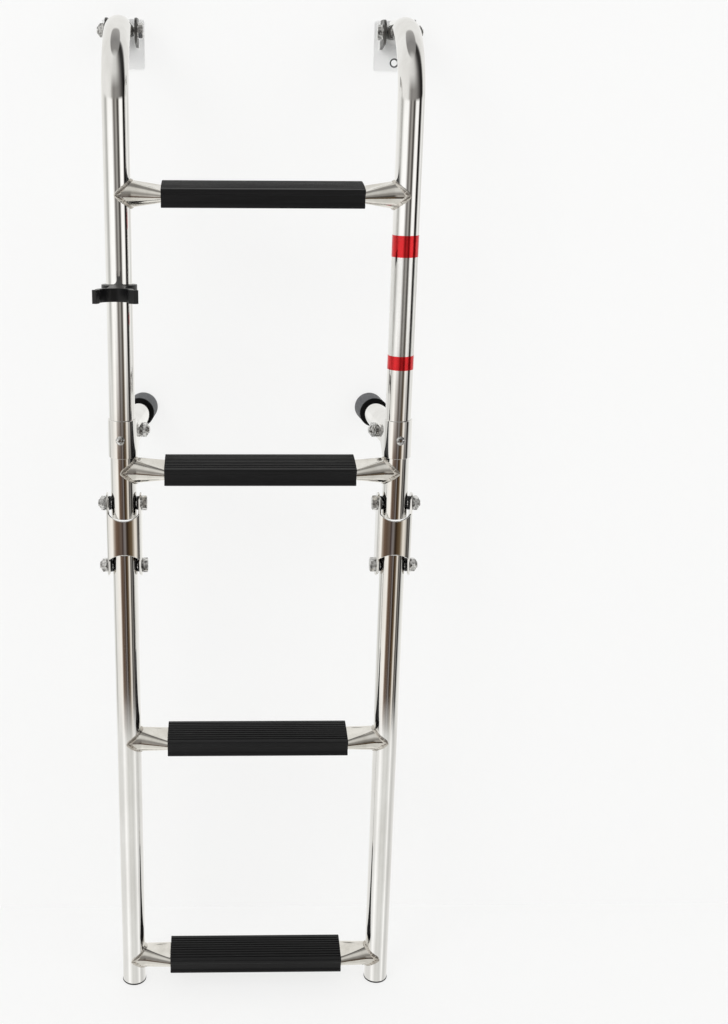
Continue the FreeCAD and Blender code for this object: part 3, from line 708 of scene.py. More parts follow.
@dataclass
class Rails:
    """Hooked upper rails, straight lower rails and the plugs in their feet."""

    shop: Workshop
    count: int = 96
    straight_steps: int = 24
    bend_steps: int = 72
    lip: float = 0.25
    end_margin: float = 2.0
    plug_rim: float = 2.0
    plug_overhang: float = 0.3
    plug_barrel: float = 12.0

    def shell(self, name: str, y: Array, z: Array, side: Side, body: Body) -> None:
        """A tube wall along a line in the rail's plane, with its outer and inner skins and eased ends.

        Args:
            name: which half it belongs to.
            y: of the centreline, counted from the rail.
            z: of the centreline.
            side: the rail.
            body: the body it moves with.
        """
        path = np.stack([0 * y, y + LAYOUT.rail_y, z], axis=1)
        across = np.tile([1.0, 0.0, 0.0], (len(y), 1))
        over = np.cross(unit(np.gradient(path, axis=0)), across)
        radius = np.full(len(y), LAYOUT.tube_radius)
        radius[[0, -1]] -= self.lip
        outer = sweep(path, across, over, radius, self.count)
        inner = sweep(path, across, over, np.full(len(y), LAYOUT.tube_radius - LAYOUT.tube_wall), self.count)
        grid = on_side(np.concatenate([outer, inner[::-1]]), side)
        self.shop.make(f"{side.value}_{name}_tube", grid, STEEL, body, f"{side.value}_{name}_rail", ring=True)

    def straight(self, low: float, high: float) -> Array:
        """Stations along a straight tube, close together at its eased ends."""
        middle = np.linspace(low + self.end_margin, high - self.end_margin, self.straight_steps)
        return np.concatenate([[low, low + self.lip], middle, [high - self.lip, high]])

    def upper(self, side: Side) -> None:
        """The hooked rail: up, a quarter bend about a centre behind it, then back over the bolt.

        Args:
            side: the rail it belongs to.
        """
        bend_z = LAYOUT.hinge_z - LAYOUT.hook_radius
        rise = self.straight(LAYOUT.top_link_z - LAYOUT.rail_stub, bend_z)[:-2]
        turn = np.linspace(0, math.pi / 2, self.bend_steps)
        arm = self.straight(LAYOUT.hook_radius, LAYOUT.hinge_y - LAYOUT.rail_y + LAYOUT.hook_tail)[2:]
        y = np.concatenate([0 * rise, LAYOUT.hook_radius * (1 - np.cos(turn)), arm])
        z = np.concatenate([rise, bend_z + LAYOUT.hook_radius * np.sin(turn), 0 * arm + LAYOUT.hinge_z])
        self.shell("upper", y, z, side, Body.UPPER)

    def lower(self, side: Side) -> None:
        """The straight rail below the fold."""
        z = self.straight(LAYOUT.foot_z, LAYOUT.bottom_link_z + LAYOUT.rail_stub)
        self.shell("lower", 0 * z, z, side, Body.LOWER)

    def plug(self, side: Side) -> None:
        """The foot plug: a turned rim with an eased lower edge and a barrel inside the tube.

        Args:
            side: the rail it belongs to.
        """
        rim, barrel = LAYOUT.tube_radius + self.plug_overhang, LAYOUT.tube_radius - LAYOUT.tube_wall
        profile = np.array([[0, -self.plug_rim], [rim - 1.4, -self.plug_rim], [rim - 0.5, -self.plug_rim + 0.3],
                            [rim, -self.plug_rim + 0.9], [rim, -0.2], [rim - 0.2, 0], [barrel, 0],
                            [barrel, self.plug_barrel], [0, self.plug_barrel]])
        points = lathe(profile, 72)[..., [1, 2, 0]] + [0, LAYOUT.rail_y, LAYOUT.foot_z]
        self.shop.make(f"{side.value}_foot_cap", on_side(points, side), "foot_rubber", Body.LOWER,
                       f"{side.value}_foot_plug", slot="dark_plastic")

    def build(self) -> None:
        """Makes both rails of each half."""
        for side in Side:
            self.upper(side)
            self.lower(side)
            self.plug(side)


@dataclass
class Rung:
    """One rung: round tube at the rails, pressed flat under its tread, with weld beads at both ends."""

    shop: Workshop
    name: str
    z: float
    body: Body
    seam: float = 0.6
    overlap: float = 0.2
    count: int = 120
    pinch: float = 0.9
    pinch_width: float = 0.16
    cope_steps: int = 6
    press_steps: int = 28
    press_ease: float = 0.9
    pole_gap: float = 2.0
    weld_steps: int = 400
    weld_floor: float = 0.4
    puddles: int = 26
    puddle_drift: float = 0.12
    puddle_base: float = 0.86
    puddle_share: float = 0.22
    bead: float = 2.1
    bead_steps: int = 20
    bead_height: float = 0.58
    bead_width: float = 1.25
    bead_lean: float = 0.35
    bead_waver: float = 0.06

    def section(self, share: Array) -> tuple[Array, Array]:
        """The rung's section, blended point by point from the round oval to the flat one.

        Args:
            share: 0 where the rung is round and 1 where it is flat, for each row and angle.

        Returns:
            Depth and height of each point.
        """
        angles = round_steps(self.count) + math.pi / self.count
        cosine, sine = np.cos(angles), np.sin(angles)
        round_radius, flat_radius = LAYOUT.tube_radius, LAYOUT.rung_flat_height / 2
        ends = np.sign(cosine)
        round_depth = ends * self.seam / 2 + round_radius * cosine
        flat_depth = ends * (LAYOUT.rung_flat_width / 2 - flat_radius) + flat_radius * cosine
        depth = (1 - share) * round_depth + share * flat_depth
        height = ((1 - share) * round_radius + share * flat_radius) * sine
        # The press pulls the facet between the creases in a little, most where the tube is half closed
        facet = np.exp(-((cosine / self.pinch_width) ** 2)) * np.sin(math.pi * share)
        return depth, height - np.sign(sine) * self.pinch * facet

    def chord(self, y: Array) -> Array:
        """Half the rail's width at a depth from its axis: sqrt(r r - y y)."""
        return np.sqrt(np.maximum(LAYOUT.tube_radius ** 2 - y ** 2, 0))

    def tube(self) -> None:
        """The pressed tube, from one coped end to the other, closed inside the rails."""
        weld, flat = LAYOUT.middle_x - LAYOUT.tube_radius, LAYOUT.tread_length / 2
        tilt = math.radians(LAYOUT.rung_tilt)
        depth, height = self.section(np.zeros((1, self.count)))
        end = LAYOUT.middle_x - self.chord(depth * math.cos(tilt) - height * math.sin(tilt)) + self.overlap
        pressed = np.append(np.linspace(0, 1, self.press_steps) ** self.press_ease, 1.0)[:, None]
        rows_x = np.concatenate([np.linspace(1, 0, self.cope_steps)[:-1, None] * (end - weld) + weld,
                                 weld + (flat - weld) * pressed + 0 * end, np.full((1, self.count), flat / 3)])
        share = np.clip((weld - rows_x) / (weld - flat), 0, 1)
        half = np.stack([rows_x, *self.section(share)], axis=-1)
        half = np.concatenate([0 * half[:1] + [LAYOUT.middle_x - self.pole_gap, 0, 0], half])
        points = on_rung(np.concatenate([half, half[::-1] * [-1, 1, 1]]), self.z)
        self.shop.make(f"{self.name}_rung_tube", points, "pressed_rung", self.body, f"{self.name}_rung",
                       crease=50.0)

    def weld(self, side: Side) -> None:
        """A weld bead: a ring along the coped joint whose radius swells as sqrt(1 - phase) in each puddle.

        Args:
            side: the rail that it joins.
        """
        angles = round_steps(self.weld_steps)
        y, z = LAYOUT.tube_radius * np.cos(angles), LAYOUT.tube_radius * np.sin(angles)
        line = np.stack([np.maximum(self.chord(y), self.weld_floor), y, z], axis=1)
        along = unit(np.roll(line, -2, axis=0) - np.roll(line, 2, axis=0))
        outward = np.stack([self.bead_lean + 0 * y, np.cos(angles), np.sin(angles)], axis=1)
        outward = unit(outward - along * (outward * along).sum(axis=1, keepdims=True))
        across = np.cross(along, outward)
        phase = (angles * self.puddles / TAU + self.puddle_drift * np.sin(3 * angles)) % 1
        swell = self.bead * (self.puddle_base + self.puddle_share * np.sqrt(1 - phase))
        swell *= 1 + self.bead_waver * np.sin(5 * angles + self.z)
        ring = sweep(line, outward * self.bead_height, across * self.bead_width, swell, self.bead_steps)
        points = on_side(ring + [0, LAYOUT.rail_y, self.z], side)
        self.shop.make(f"{self.name}_{side.value}_weld", points, "weld_bead", self.body, ring=True, crease=60.0)

    def build(self) -> None:
        """Makes the rung, its welds and its tread."""
        self.tube()
        for side in Side:
            self.weld(side)
        Tread(self.shop, self.name, self.z, self.body).build()


@dataclass
class Tread:
    """Extruded ribbed sleeve over the flat of a rung."""

    shop: Workshop
    name: str
    z: float
    body: Body
    depth: float = 40.0
    height: float = 17.5
    crown: float = 1.2
    nosing: float = 4.0
    lip: float = 1.4
    bead: float = 2.6
    groove_pitch: float = 3.6
    groove_width: float = 1.5
    groove_depth: float = 0.9
    grooves: int = 9
    chamfer: float = 0.5
    rim: float = 1.5
    corner_reach: float = 0.55

    def outline(self) -> Array:
        """The sleeve's section: top on a crown's arc less the grooves, nosing lips, hollow faces, bead below.

        Returns:
            Rows of depth and height, closed, with rounded corners.
        """
        half, top = self.depth / 2, self.height / 2
        radius = (half ** 2 + self.crown ** 2) / (2 * self.crown)
        centre = top + self.crown - radius
        middles = (np.arange(self.grooves) - (self.grooves - 1) / 2)[::-1] * self.groove_pitch
        edges = np.repeat(middles, 4) + np.tile([1, 1, -1, -1], self.grooves) * self.groove_width / 2
        surface = centre + np.sqrt(radius ** 2 - edges ** 2)
        surface -= np.tile([0, 1, 1, 0], self.grooves) * self.groove_depth
        front = half - self.lip
        side = np.array([[-half, top - 0.1], [-half, top - self.nosing], [-front, top - self.nosing - self.lip],
                         [-front, -top + self.bead + self.lip], [-half, -top + self.bead], [-half + 0.3, -top]])
        corners = np.concatenate([np.stack([edges, surface], axis=1), side, side[::-1] * [-1, 1]])
        return rounded(corners, self.corner_reach)

    def core(self, outline: Array) -> Array:
        """For each outline point, the nearest point of the obround hole: middle + r towards the point.

        Args:
            outline: rows of depth and height.

        Returns:
            Rows of depth and height on the hole's wall.
        """
        radius = LAYOUT.rung_flat_height / 2
        reach = LAYOUT.rung_flat_width / 2 - radius
        middle = np.stack([np.clip(outline[:, 0], -reach, reach), 0 * outline[:, 0]], axis=1)
        return middle + unit(outline - middle) * radius

    def build(self) -> None:
        """Carries the section along X, eased at both ends, and closes it through the hole."""
        outline = self.outline()
        core = self.core(outline)
        inward = unit(core - outline) * self.chamfer
        half = LAYOUT.tread_length / 2
        rows = [(core, half - self.rim), (core, half), (outline + inward, half),
                (outline + inward * 0.3, half - self.chamfer * 0.3), (outline, half - self.chamfer)]
        rows += [(section, -x) for section, x in rows[::-1]]
        grid = np.stack([np.column_stack([np.full(len(section), x), section]) for section, x in rows])
        self.shop.make(f"{self.name}_tread_sleeve", on_rung(grid, self.z), "ribbed_pvc", self.body,
                       f"{self.name}_tread", ring=True, crease=40.0, slot="tread_plastic")


# Fasteners


@dataclass
class HexBolt:
    """A pivot bolt along X: head and washer inboard, washer, locking nut and thread end outboard.

    A clasp's bolt is the other way round, with a low button head and no washer under it.
    """

    shop: Workshop
    grip: float
    flats: float = 13.0
    head: float = 4.6
    nut: float = 5.4
    tail: float = 1.6
    radius: float = 4.0
    washer_radius: float = 7.5
    washer: float = 1.0
    button_radius: float = 6.5
    button_height: float = 1.8
    pitch: float = 1.25
    thread_depth: float = 0.35
    count: int = 96
    thread_steps: int = 48
    chamfer: float = 1.6
    chamfer_share: float = 0.94
    chamfer_slope: float = 1.9
    collar: float = 0.9
    collar_share: float = 0.86
    nut_turn: float = 17.0

    def hexagon(self, x: Array, top: float | None, bottom: float | None, turn: float) -> Array:
        """A hexagonal prism turned down by chamfer cones.

        The radius is the smaller of the hexagon's, half the flats / cos(angle from the flat's middle), and the
        cone's, which grows inwards from each chamfered face.

        Args:
            x: stations along the axis, from low to high.
            top: station of the chamfered high face, if it has one.
            bottom: station of the chamfered low face, if it has one.
            turn: how far the hexagon is turned, in degrees.

        Returns:
            Rings of points, closed by a pole at each end.
        """
        angles = round_steps(self.count)
        sector = (angles + math.radians(turn) + math.pi / 6) % (math.pi / 3) - math.pi / 6
        radius = np.tile(self.flats / 2 / np.cos(sector), (len(x), 1))
        for face, sign in ((top, 1), (bottom, -1)):
            if face is not None:
                cone = self.flats / 2 * self.chamfer_share + (face - x) * sign * self.chamfer_slope
                radius = np.minimum(radius, cone[:, None])
        return spin(np.pad(x, 1, "edge"), np.pad(radius, ((1, 1), (0, 0))))

    def thread(self, low: float, high: float) -> Array:
        """The threaded tail: radius - depth |saw(x / pitch - angle)|, drawn in at its tip.

        Args:
            low: station of its tip.
            high: station where it leaves the nut.

        Returns:
            Rings of points.
        """
        x = np.linspace(low, high, int((high - low) / self.pitch * 10))
        saw = np.abs((x[:, None] / self.pitch + round_steps(self.thread_steps) / TAU) % 1 - 0.5) * 2
        radius = np.minimum(self.radius - self.thread_depth * saw, (self.radius - 0.9 + (x - low))[:, None])
        return spin(np.pad(x, (1, 0), "edge"), np.pad(radius, ((1, 0), (0, 0))))

    def flat_ring(self, low: float, high: float, inner: float, outer: float) -> Array:
        """A washer or collar: a turned ring with eased edges."""
        ease = min(0.35, (high - low) / 4)
        return lathe(np.array([[inner, low], [outer - ease, low], [outer, low + ease], [outer, high - ease],
                               [outer - ease, high], [inner, high]]))

    def button(self, start: float) -> Array:
        """A low domed head, turned, with a sunk drive in its middle."""
        share = np.array([[0, -0.3], [1, -0.3], [1, 0.25], [0.95, 0.55], [0.82, 0.8], [0.62, 0.95], [0.42, 1.0],
                          [0.4, 0.9], [0.4, 0.35], [0, 0.35]])
        return lathe(share * [self.button_radius, self.button_height] + [0, start])

    def hexagon_head(self, face: float, turn: float) -> list[tuple[Array, bool]]:
        """A chamfered hexagon head, its washer and the raised disc on its top.

        Args:
            face: station of the head's underside.
            turn: how the hexagon is turned, in degrees.

        Returns:
            Each grid, with whether it is a ring.
        """
        end = face + self.head
        disc = np.array([[0.0, -0.5], [0.36, -0.5], [0.36, -0.1], [0.3, 0.12], [0.0, 0.14]])
        stations = np.append(face, np.linspace(end - self.chamfer, end, 9))
        return [(self.hexagon(stations, end, None, turn), False),
                (self.flat_ring(face - self.washer, face, self.radius, self.washer_radius), True),
                (lathe(disc * [self.flats, 1] + [0, end]), False)]

    def build(self, name: str, y: float, z: float, side: Side, body: Body, turn: float = 0.0,
              with_clasp: bool = False) -> None:
        """Makes the bolt set at one pivot.

        Args:
            name: the CAD node that it stands for.
            y: of the pivot.
            z: of the pivot.
            side: the rail.
            body: the body it moves with.
            turn: how the hexagons are turned, in degrees.
            with_clasp: a clasp's bolt, which leans inboard with it, and y counts from the rail's axis.
        """
        half = self.grip / 2
        face = half + self.washer
        nut_end = face + self.nut
        stations = -np.append(np.linspace(nut_end - self.collar, nut_end - self.chamfer, 6),
                              np.linspace(face + self.collar, face, 6))
        shank = np.array([[0.0, -half - 1], [self.radius, -half - 1], [self.radius, half + 0.3],
                          [0.0, half + 0.3]])
        grids = [(self.button(half), False)] if with_clasp else self.hexagon_head(face, turn)
        grids += [
            (self.hexagon(stations, -face, -nut_end + self.collar, turn + self.nut_turn), False),
            (self.flat_ring(-face, -half, self.radius, self.washer_radius), True),
            (self.flat_ring(-nut_end, -nut_end + 1.2, self.radius - 0.2, self.flats / 2 * self.collar_share),
             True),
            (self.thread(-nut_end - self.tail, -nut_end + 0.5), False),
            (lathe(shank, 48), False)]
        skin = Surface(f"{name}_set")
        for grid, ring in grids:
            place = grid * [-1 if with_clasp else 1, 1, 1] + [0, y, z]
            place = toed(place) + [0, LAYOUT.rail_y, 0] if with_clasp else place
            skin.grid(on_side(place, side), ring)
        self.shop.fit(skin.build(28.0), "bright_fastener", body, name)


# Fold links


@dataclass
class FoldLink:
    """The pressed half-pipe that joins an upper rail to a lower one, with its spacers and bolts."""

    shop: Workshop
    width: float = 35.2
    wall: float = 1.8
    corner: float = 8.0
    crown: float = 30.0
    ear: float = 11.0
    lock_gap: float = 0.5
    saddle_gap: float = 2.6
    saddle_radius: float = 21.0
    spacer_radius: float = 7.0
    spacer_gap: float = 0.2
    pin_clearance: float = 0.1
    top_turn: float = 8.0
    bottom_turn: float = 22.0

    def plan(self) -> Array:
        """The sheet's middle line: flange, corner, web with a slight crown, corner, flange.

        The crown's arc and the corner's meet where their slopes agree, at sin a = (width - r) / (crown - r).

        Returns:
            Rows of x and y from one flange's end to the other's.
        """
        middle = self.width / 2 - self.wall / 2
        front = -(LAYOUT.tube_radius + self.lock_gap + self.wall / 2)
        radius = self.corner - self.wall / 2
        slope = math.asin((middle - radius) / (self.crown - radius))
        centre = front + self.crown - (self.crown - radius) * math.cos(slope)
        back = np.linspace(self.ear, centre, 26)[:-1]
        turn = np.linspace(0, math.pi / 2 - slope, 26)
        arc = np.stack([middle - radius + radius * np.cos(turn), centre - radius * np.sin(turn)], axis=1)
        web = np.linspace(slope, -slope, 30)[1:-1]
        bow = np.stack([self.crown * np.sin(web), front + self.crown * (1 - np.cos(web))], axis=1)
        right = np.concatenate([np.stack([0 * back + middle, back], axis=1), arc])
        return np.concatenate([right, bow, right[::-1] * [-1, 1]])

    def edge(self, plan: Array) -> Array:
        """Height of the cut edge above the link's middle: the lower of the saddle's arc and the ear's outline.

        Args:
            plan: rows of x, y along the middle of the sheet.

        Returns:
            A height for each row.
        """
        half = (LAYOUT.top_link_z - LAYOUT.bottom_link_z) / 2
        cut = LAYOUT.tube_radius + self.saddle_gap
        x, y = np.abs(plan[:, 0]), plan[:, 1]
        floor = half - cut + self.saddle_radius
        saddle = np.where(x < cut, floor - np.sqrt(self.saddle_radius ** 2 - np.minimum(x, cut) ** 2), np.inf)
        dome = half + np.sqrt(np.maximum(self.ear ** 2 - y ** 2, 0))
        slope = np.interp(-y, [self.ear, LAYOUT.tube_radius + self.lock_gap + self.wall], [half, half - cut / 2])
        return np.minimum(saddle, np.where(y > -self.ear, dome, slope))

    def build(self, side: Side) -> None:
        """Makes the link, its four spacers and its two bolts.

        Args:
            side: the rail it belongs to.
        """
        plan = self.plan()
        middle = (LAYOUT.top_link_z + LAYOUT.bottom_link_z) / 2
        points = strap(plan, self.edge(plan), self.wall, 40, 0.35) + [0, LAYOUT.rail_y, middle]
        self.shop.make(f"{side.value}_link_pressing", on_side(points, side), STEEL, Body.LINKS,
                       f"{side.value}_fold_link", crease=40.0)
        bolt = HexBolt(self.shop, self.width)
        spacers = Surface(f"{side.value}_spacer_rings")
        low, high = LAYOUT.tube_radius + self.spacer_gap, self.width / 2 - self.wall - self.spacer_gap
        for name, z, turn in (("top", LAYOUT.top_link_z, self.top_turn),
                              ("bottom", LAYOUT.bottom_link_z, self.bottom_turn)):
            for start, end in ((low, high), (-high, -low)):
                ring = bolt.flat_ring(start, end, bolt.radius + self.pin_clearance, self.spacer_radius)
                spacers.grid(on_side(ring + [0, LAYOUT.rail_y, z], side), True)
            bolt.build(f"{side.value}_{name}_link_bolt", LAYOUT.rail_y, z, side, Body.LINKS, turn)
        self.shop.fit(spacers.build(), "black_nylon", Body.LINKS, f"{side.value}_link_spacers",
                      slot="black_nylon")


# Standoffs


@dataclass
class Standoff:
    """The clasp round a rail, its screw and bolt, and the capped tube that rests on the hull."""

    shop: Workshop
    wall: float = 1.4
    height: float = 38.0
    pivot_radius: float = 7.5
    taper_start: float = 2.0
    tongue_start: float = 13.0
    tube_radius: float = 12.4
    tube_ring: float = 40.0
    nose: float = 9.0
    cap_radius: float = 15.3
    cap_length: float = 32.0
    cap_rounding: float = 3.0
    cap_floor: float = 4.0
    screw_radius: float = 4.4
    bolt_turn: float = 5.0

    @property
    def reach(self) -> float:
        """From the rail's axis along the standoff to the cap's end, where its rounding touches the hull.

        Returns:
            The distance in millimetres.
        """
        lean, rounding = math.radians(LAYOUT.toe_in), self.cap_rounding
        centre = -LAYOUT.rail_y - rounding - (self.cap_radius - rounding) * math.sin(lean)
        return centre / math.cos(lean) + rounding

    def placed(self, points: Array, side: Side) -> Array:
        """Points about the rail's axis at the clasp's height, toed in and put on their side."""
        return on_side(toed(points) + [0, LAYOUT.rail_y, LAYOUT.clasp_z], side)

    def clasp(self, side: Side) -> None:
        """A strap bent round the front of the rail, whose ends narrow to a tongue on each side of the pivot.

        Args:
            side: the rail it belongs to.
        """
        radius, pivot = LAYOUT.tube_radius + self.wall / 2, LAYOUT.clasp_pivot
        ease = 1 - (1 - np.linspace(0, 1, 24)) ** 2
        ear = np.concatenate([np.arange(0, pivot), pivot + ease * self.pivot_radius])[::-1]
        turn = np.linspace(0, math.pi, 72)[1:-1]
        right = np.stack([0 * ear + radius, ear], axis=1)
        arc = np.stack([radius * np.cos(turn), -radius * np.sin(turn)], axis=1)
        plan = np.concatenate([right, arc, right[::-1] * [-1, 1]])
        y = plan[:, 1]
        slope = np.interp(y, [self.taper_start, self.tongue_start], [self.height / 2, self.pivot_radius])
        dome = np.sqrt(np.maximum(self.pivot_radius ** 2 - (y - pivot) ** 2, 0))
        high = np.where(y > pivot, np.minimum(dome, self.pivot_radius), slope)
        high = np.where(y > pivot + self.pivot_radius - 1e-6, 0.0, high)
        points = self.placed(strap(plan, high, self.wall, 24, 0.25), side)
        self.shop.make(f"{side.value}_clasp_strap", points, STEEL, Body.UPPER, f"{side.value}_standoff_clasp",
                       crease=40.0)

    def screw(self, side: Side) -> None:
        """A button-head screw at the clasp's front: a turned dome with a sunk drive.

        Args:
            side: the rail it belongs to.
        """
        r = self.screw_radius
        profile = np.array([[0.0, 1.0], [1.25, 1.0], [1.35, 1.1], [1.4, 2.05], [1.6, 2.2], [r * 0.72, 1.95],
                            [r * 0.92, 1.35], [r, 0.7], [r, -0.3], [0.0, -0.3]])
        points = lathe(profile, 48)[..., [1, 0, 2]] * [1, -1, 1] - [0, LAYOUT.tube_radius + self.wall, 0]
        self.shop.make(f"{side.value}_clasp_screw", self.placed(points, side), "bright_fastener", Body.UPPER,
                       crease=30.0)

    def arm(self, side: Side) -> None:
        """The tube from its nose in front of the pivot into the cap, the cap, and the black lip of its mouth. The
        cap is black rubber: its grey sides are painted light from above, and the lip is the shaded copy of the
        same rubber, black on the mouth face where shade falls.

        Args:
            side: the rail it belongs to.
        """
        nose, tip, outer, bore = LAYOUT.clasp_pivot - self.nose, self.reach, self.cap_radius, self.tube_radius
        inner, mouth, rounding = bore - LAYOUT.tube_wall, tip - self.cap_length, self.cap_rounding
        middle, floor = tip - self.tube_ring, tip - self.cap_floor
        self.turned(side, "standoff_pipe", [
            [inner, nose], [bore - 0.25, nose], [bore, nose + 0.25], [bore, middle], [bore, floor],
            [inner, floor], [inner, middle]], STEEL, "standoff_tube", slot=STEEL)
        turn = np.linspace(0, math.pi / 2, 7)
        end = np.stack([outer - rounding + rounding * np.cos(turn), tip - rounding + rounding * np.sin(turn)],
                       axis=1)
        # painted light: the cap's grey stands for overhead light on the sides of a black rubber cap
        self.turned(side, "standoff_boot", [
            [0.0, floor], [bore, floor], [bore, mouth + 0.3], [bore + 0.3, mouth],
            [outer - 0.9, mouth], [outer - 0.2, mouth + 0.35], [outer, mouth + 1.0], *end.tolist(),
            [outer - 5.0, tip], [0.0, tip]], "grey_rubber", "standoff_cap", ring=False)
        # painted shade: a black lip over the mouth face, the shaded copy of the cap's rubber
        self.turned(side, "boot_lip", [
            [bore + 0.05, mouth - 0.2], [outer - 0.9, mouth - 0.2], [outer - 0.1, mouth + 0.3],
            [outer + 0.12, mouth + 1.0], [outer + 0.12, mouth + 1.9], [outer - 0.3, mouth + 2.0],
            [outer - 1.5, mouth + 0.6], [bore + 0.05, mouth + 0.5]], "black_rubber_lip")

    def turned(self, side: Side, name: str, profile: list[list[float]], finish: str, *nodes: str,
               slot: str = "black_rubber", ring: bool = True) -> None:
        """A turned piece about the standoff's axis.

        Args:
            side: the rail.
            name: the piece's name without its side.
            profile: rows of radius and distance from the rail's axis.
            finish: name of its finish.
            nodes: the CAD node it stands for, without its side, if there is one.
            slot: the record's material slot.
            ring: the profile closes on itself.
        """
        body = Body.LEFT_STANDOFF if side is Side.LEFT else Body.RIGHT_STANDOFF
        points = self.placed(lathe(np.array(profile), 80)[..., [1, 0, 2]], side)
        self.shop.make(f"{side.value}_{name}", points, finish, body, *(f"{side.value}_{node}" for node in nodes),
                       ring=ring, slot=slot)

    def build(self, side: Side) -> None:
        """Makes one standoff.

        Args:
            side: the rail it belongs to.
        """
        self.clasp(side)
        self.screw(side)
        self.arm(side)
        bolt = HexBolt(self.shop, (LAYOUT.tube_radius + self.wall) * 2)
        bolt.build(f"{side.value}_standoff_bolt", LAYOUT.clasp_pivot, LAYOUT.clasp_z, side, Body.UPPER,
                   self.bolt_turn, with_clasp=True)


# Wraps and small fittings


@dataclass
class MarkerWrap:
    """Plain red bands and a clear film round the right rail."""

    shop: Workshop
    film: float = 0.12
    glue: float = 0.02
    cover: float = 300.0
    bands: tuple[tuple[str, float, float, str], ...] = (
        ("upper_red_band", -192.3, -171.9, "red_band"), ("lower_red_band", -300.6, -286.9, "red_band"),
        ("clear_film", -286.8, -192.4, "clear_wrap"))

    def build(self) -> None:
        """Makes the two bands and the film between them, thin sleeves with a gap behind the rail."""
        half = math.radians(self.cover / 2)
        angles = (np.linspace(-half, half, 90) - math.pi / 2)[:, None]
        radius = LAYOUT.tube_radius + np.array([self.glue, self.film, self.film, self.glue])
        x, y = radius * np.cos(angles) + LAYOUT.rail_spacing, radius * np.sin(angles) + LAYOUT.rail_y
        for name, low, high, finish in self.bands:
            points = np.stack([x, y, np.array([low, low, high, high]) + 0 * x], axis=-1)
            ends = [points[i][None] * 0 + points[i].mean(axis=0) for i in (0, -1)]
            self.shop.make(name, np.concatenate([ends[0], points, ends[1]]), finish, Body.UPPER)


@dataclass
class Fittings:
    """Hinge brackets, their bolts and the storage clip."""

    shop: Workshop
    plate: float = 2.5
    ear_play: float = 0.5
    hole_radius: float = 3.2
    hole_edge: float = 4.5
    hole_height: float = 16.0
    bracket_edge: float = 0.4
    clip_edge: float = 1.7
    bolt_turn: float = 12.0

    def build(self) -> None:
        """Makes the brackets, hinge bolts and clip."""
        bolt = HexBolt(self.shop, (LAYOUT.tube_radius + self.ear_play + self.plate) * 2)
        for side in Side:
            self.shop.refine(f"{side.value}_hinge_bracket", "satin_bracket", Body.BRACKETS, self.bracket_edge)
            bolt.build(f"{side.value}_hinge_bolt", LAYOUT.hinge_y, LAYOUT.hinge_z, side, Body.BRACKETS,
                       self.bolt_turn)
            self.painted_hole_shades(side)
        self.shop.refine("storage_clip", "black_nylon", Body.UPPER, self.clip_edge, "black_nylon")

    def painted_hole_shades(self, side: Side) -> None:
        """Painted shade in the screw holes: near-black bores, from the plate's back to a thin dark rim on its
        front, for the shadow inside the holes.

        Args:
            side: the rail it belongs to.
        """
        # painted shade: bores and a front rim out to 4.5 mm are near black for the shadow inside the holes
        bore, edge, front = self.hole_radius, self.hole_edge, -self.plate
        profile = np.array([[bore, -0.1], [bore, front + 0.1], [bore + 0.06, front - 0.06], [edge, front - 0.06],
                            [edge, front + 0.05], [bore + 0.15, -0.1]])
        skin = Surface(f"{side.value}_hole_edges")
        for height in (self.hole_height, -self.hole_height):
            skin.grid(on_side(lathe(profile, 48)[..., [1, 0, 2]] + [0, 0, height], side), True)
        self.shop.fit(skin.build(), "hole_edge", Body.BRACKETS)


# Studio


class Measure(Enum):
    """What a zone of the room is coloured by, with the measure's greatest value.

    Bearings are in degrees from straight in front towards the right. Depths go from -1 in front to 1 behind.
    """

    BEARING = 180.0
    DEPTH = 1.0


@dataclass(frozen=True)
class Zone:
    """A band of the room between two heights, which fades in over the one below it."""

    start: float
    end: float
    stops: dict[float, str]
    measure: Measure = Measure.BEARING

    def colour(self, tree: Tree, factor: Node) -> Node:
        """The zone's colours.

        Args:
            tree: the world's node tree.
            factor: the measure, from 0 at its least to 1 at its greatest value.

        Returns:
            The colour ramp.
        """
        node = add_node(tree, "ValToRGB", Fac=factor)
        elements = node.color_ramp.elements
        while len(elements) < len(self.stops):
            elements.new(0.5)
        for element, (place, code) in zip(elements, self.stops.items()):
            element.position = place / (2 * self.measure.value) + 0.5
            element.color = linear(code)
        return node


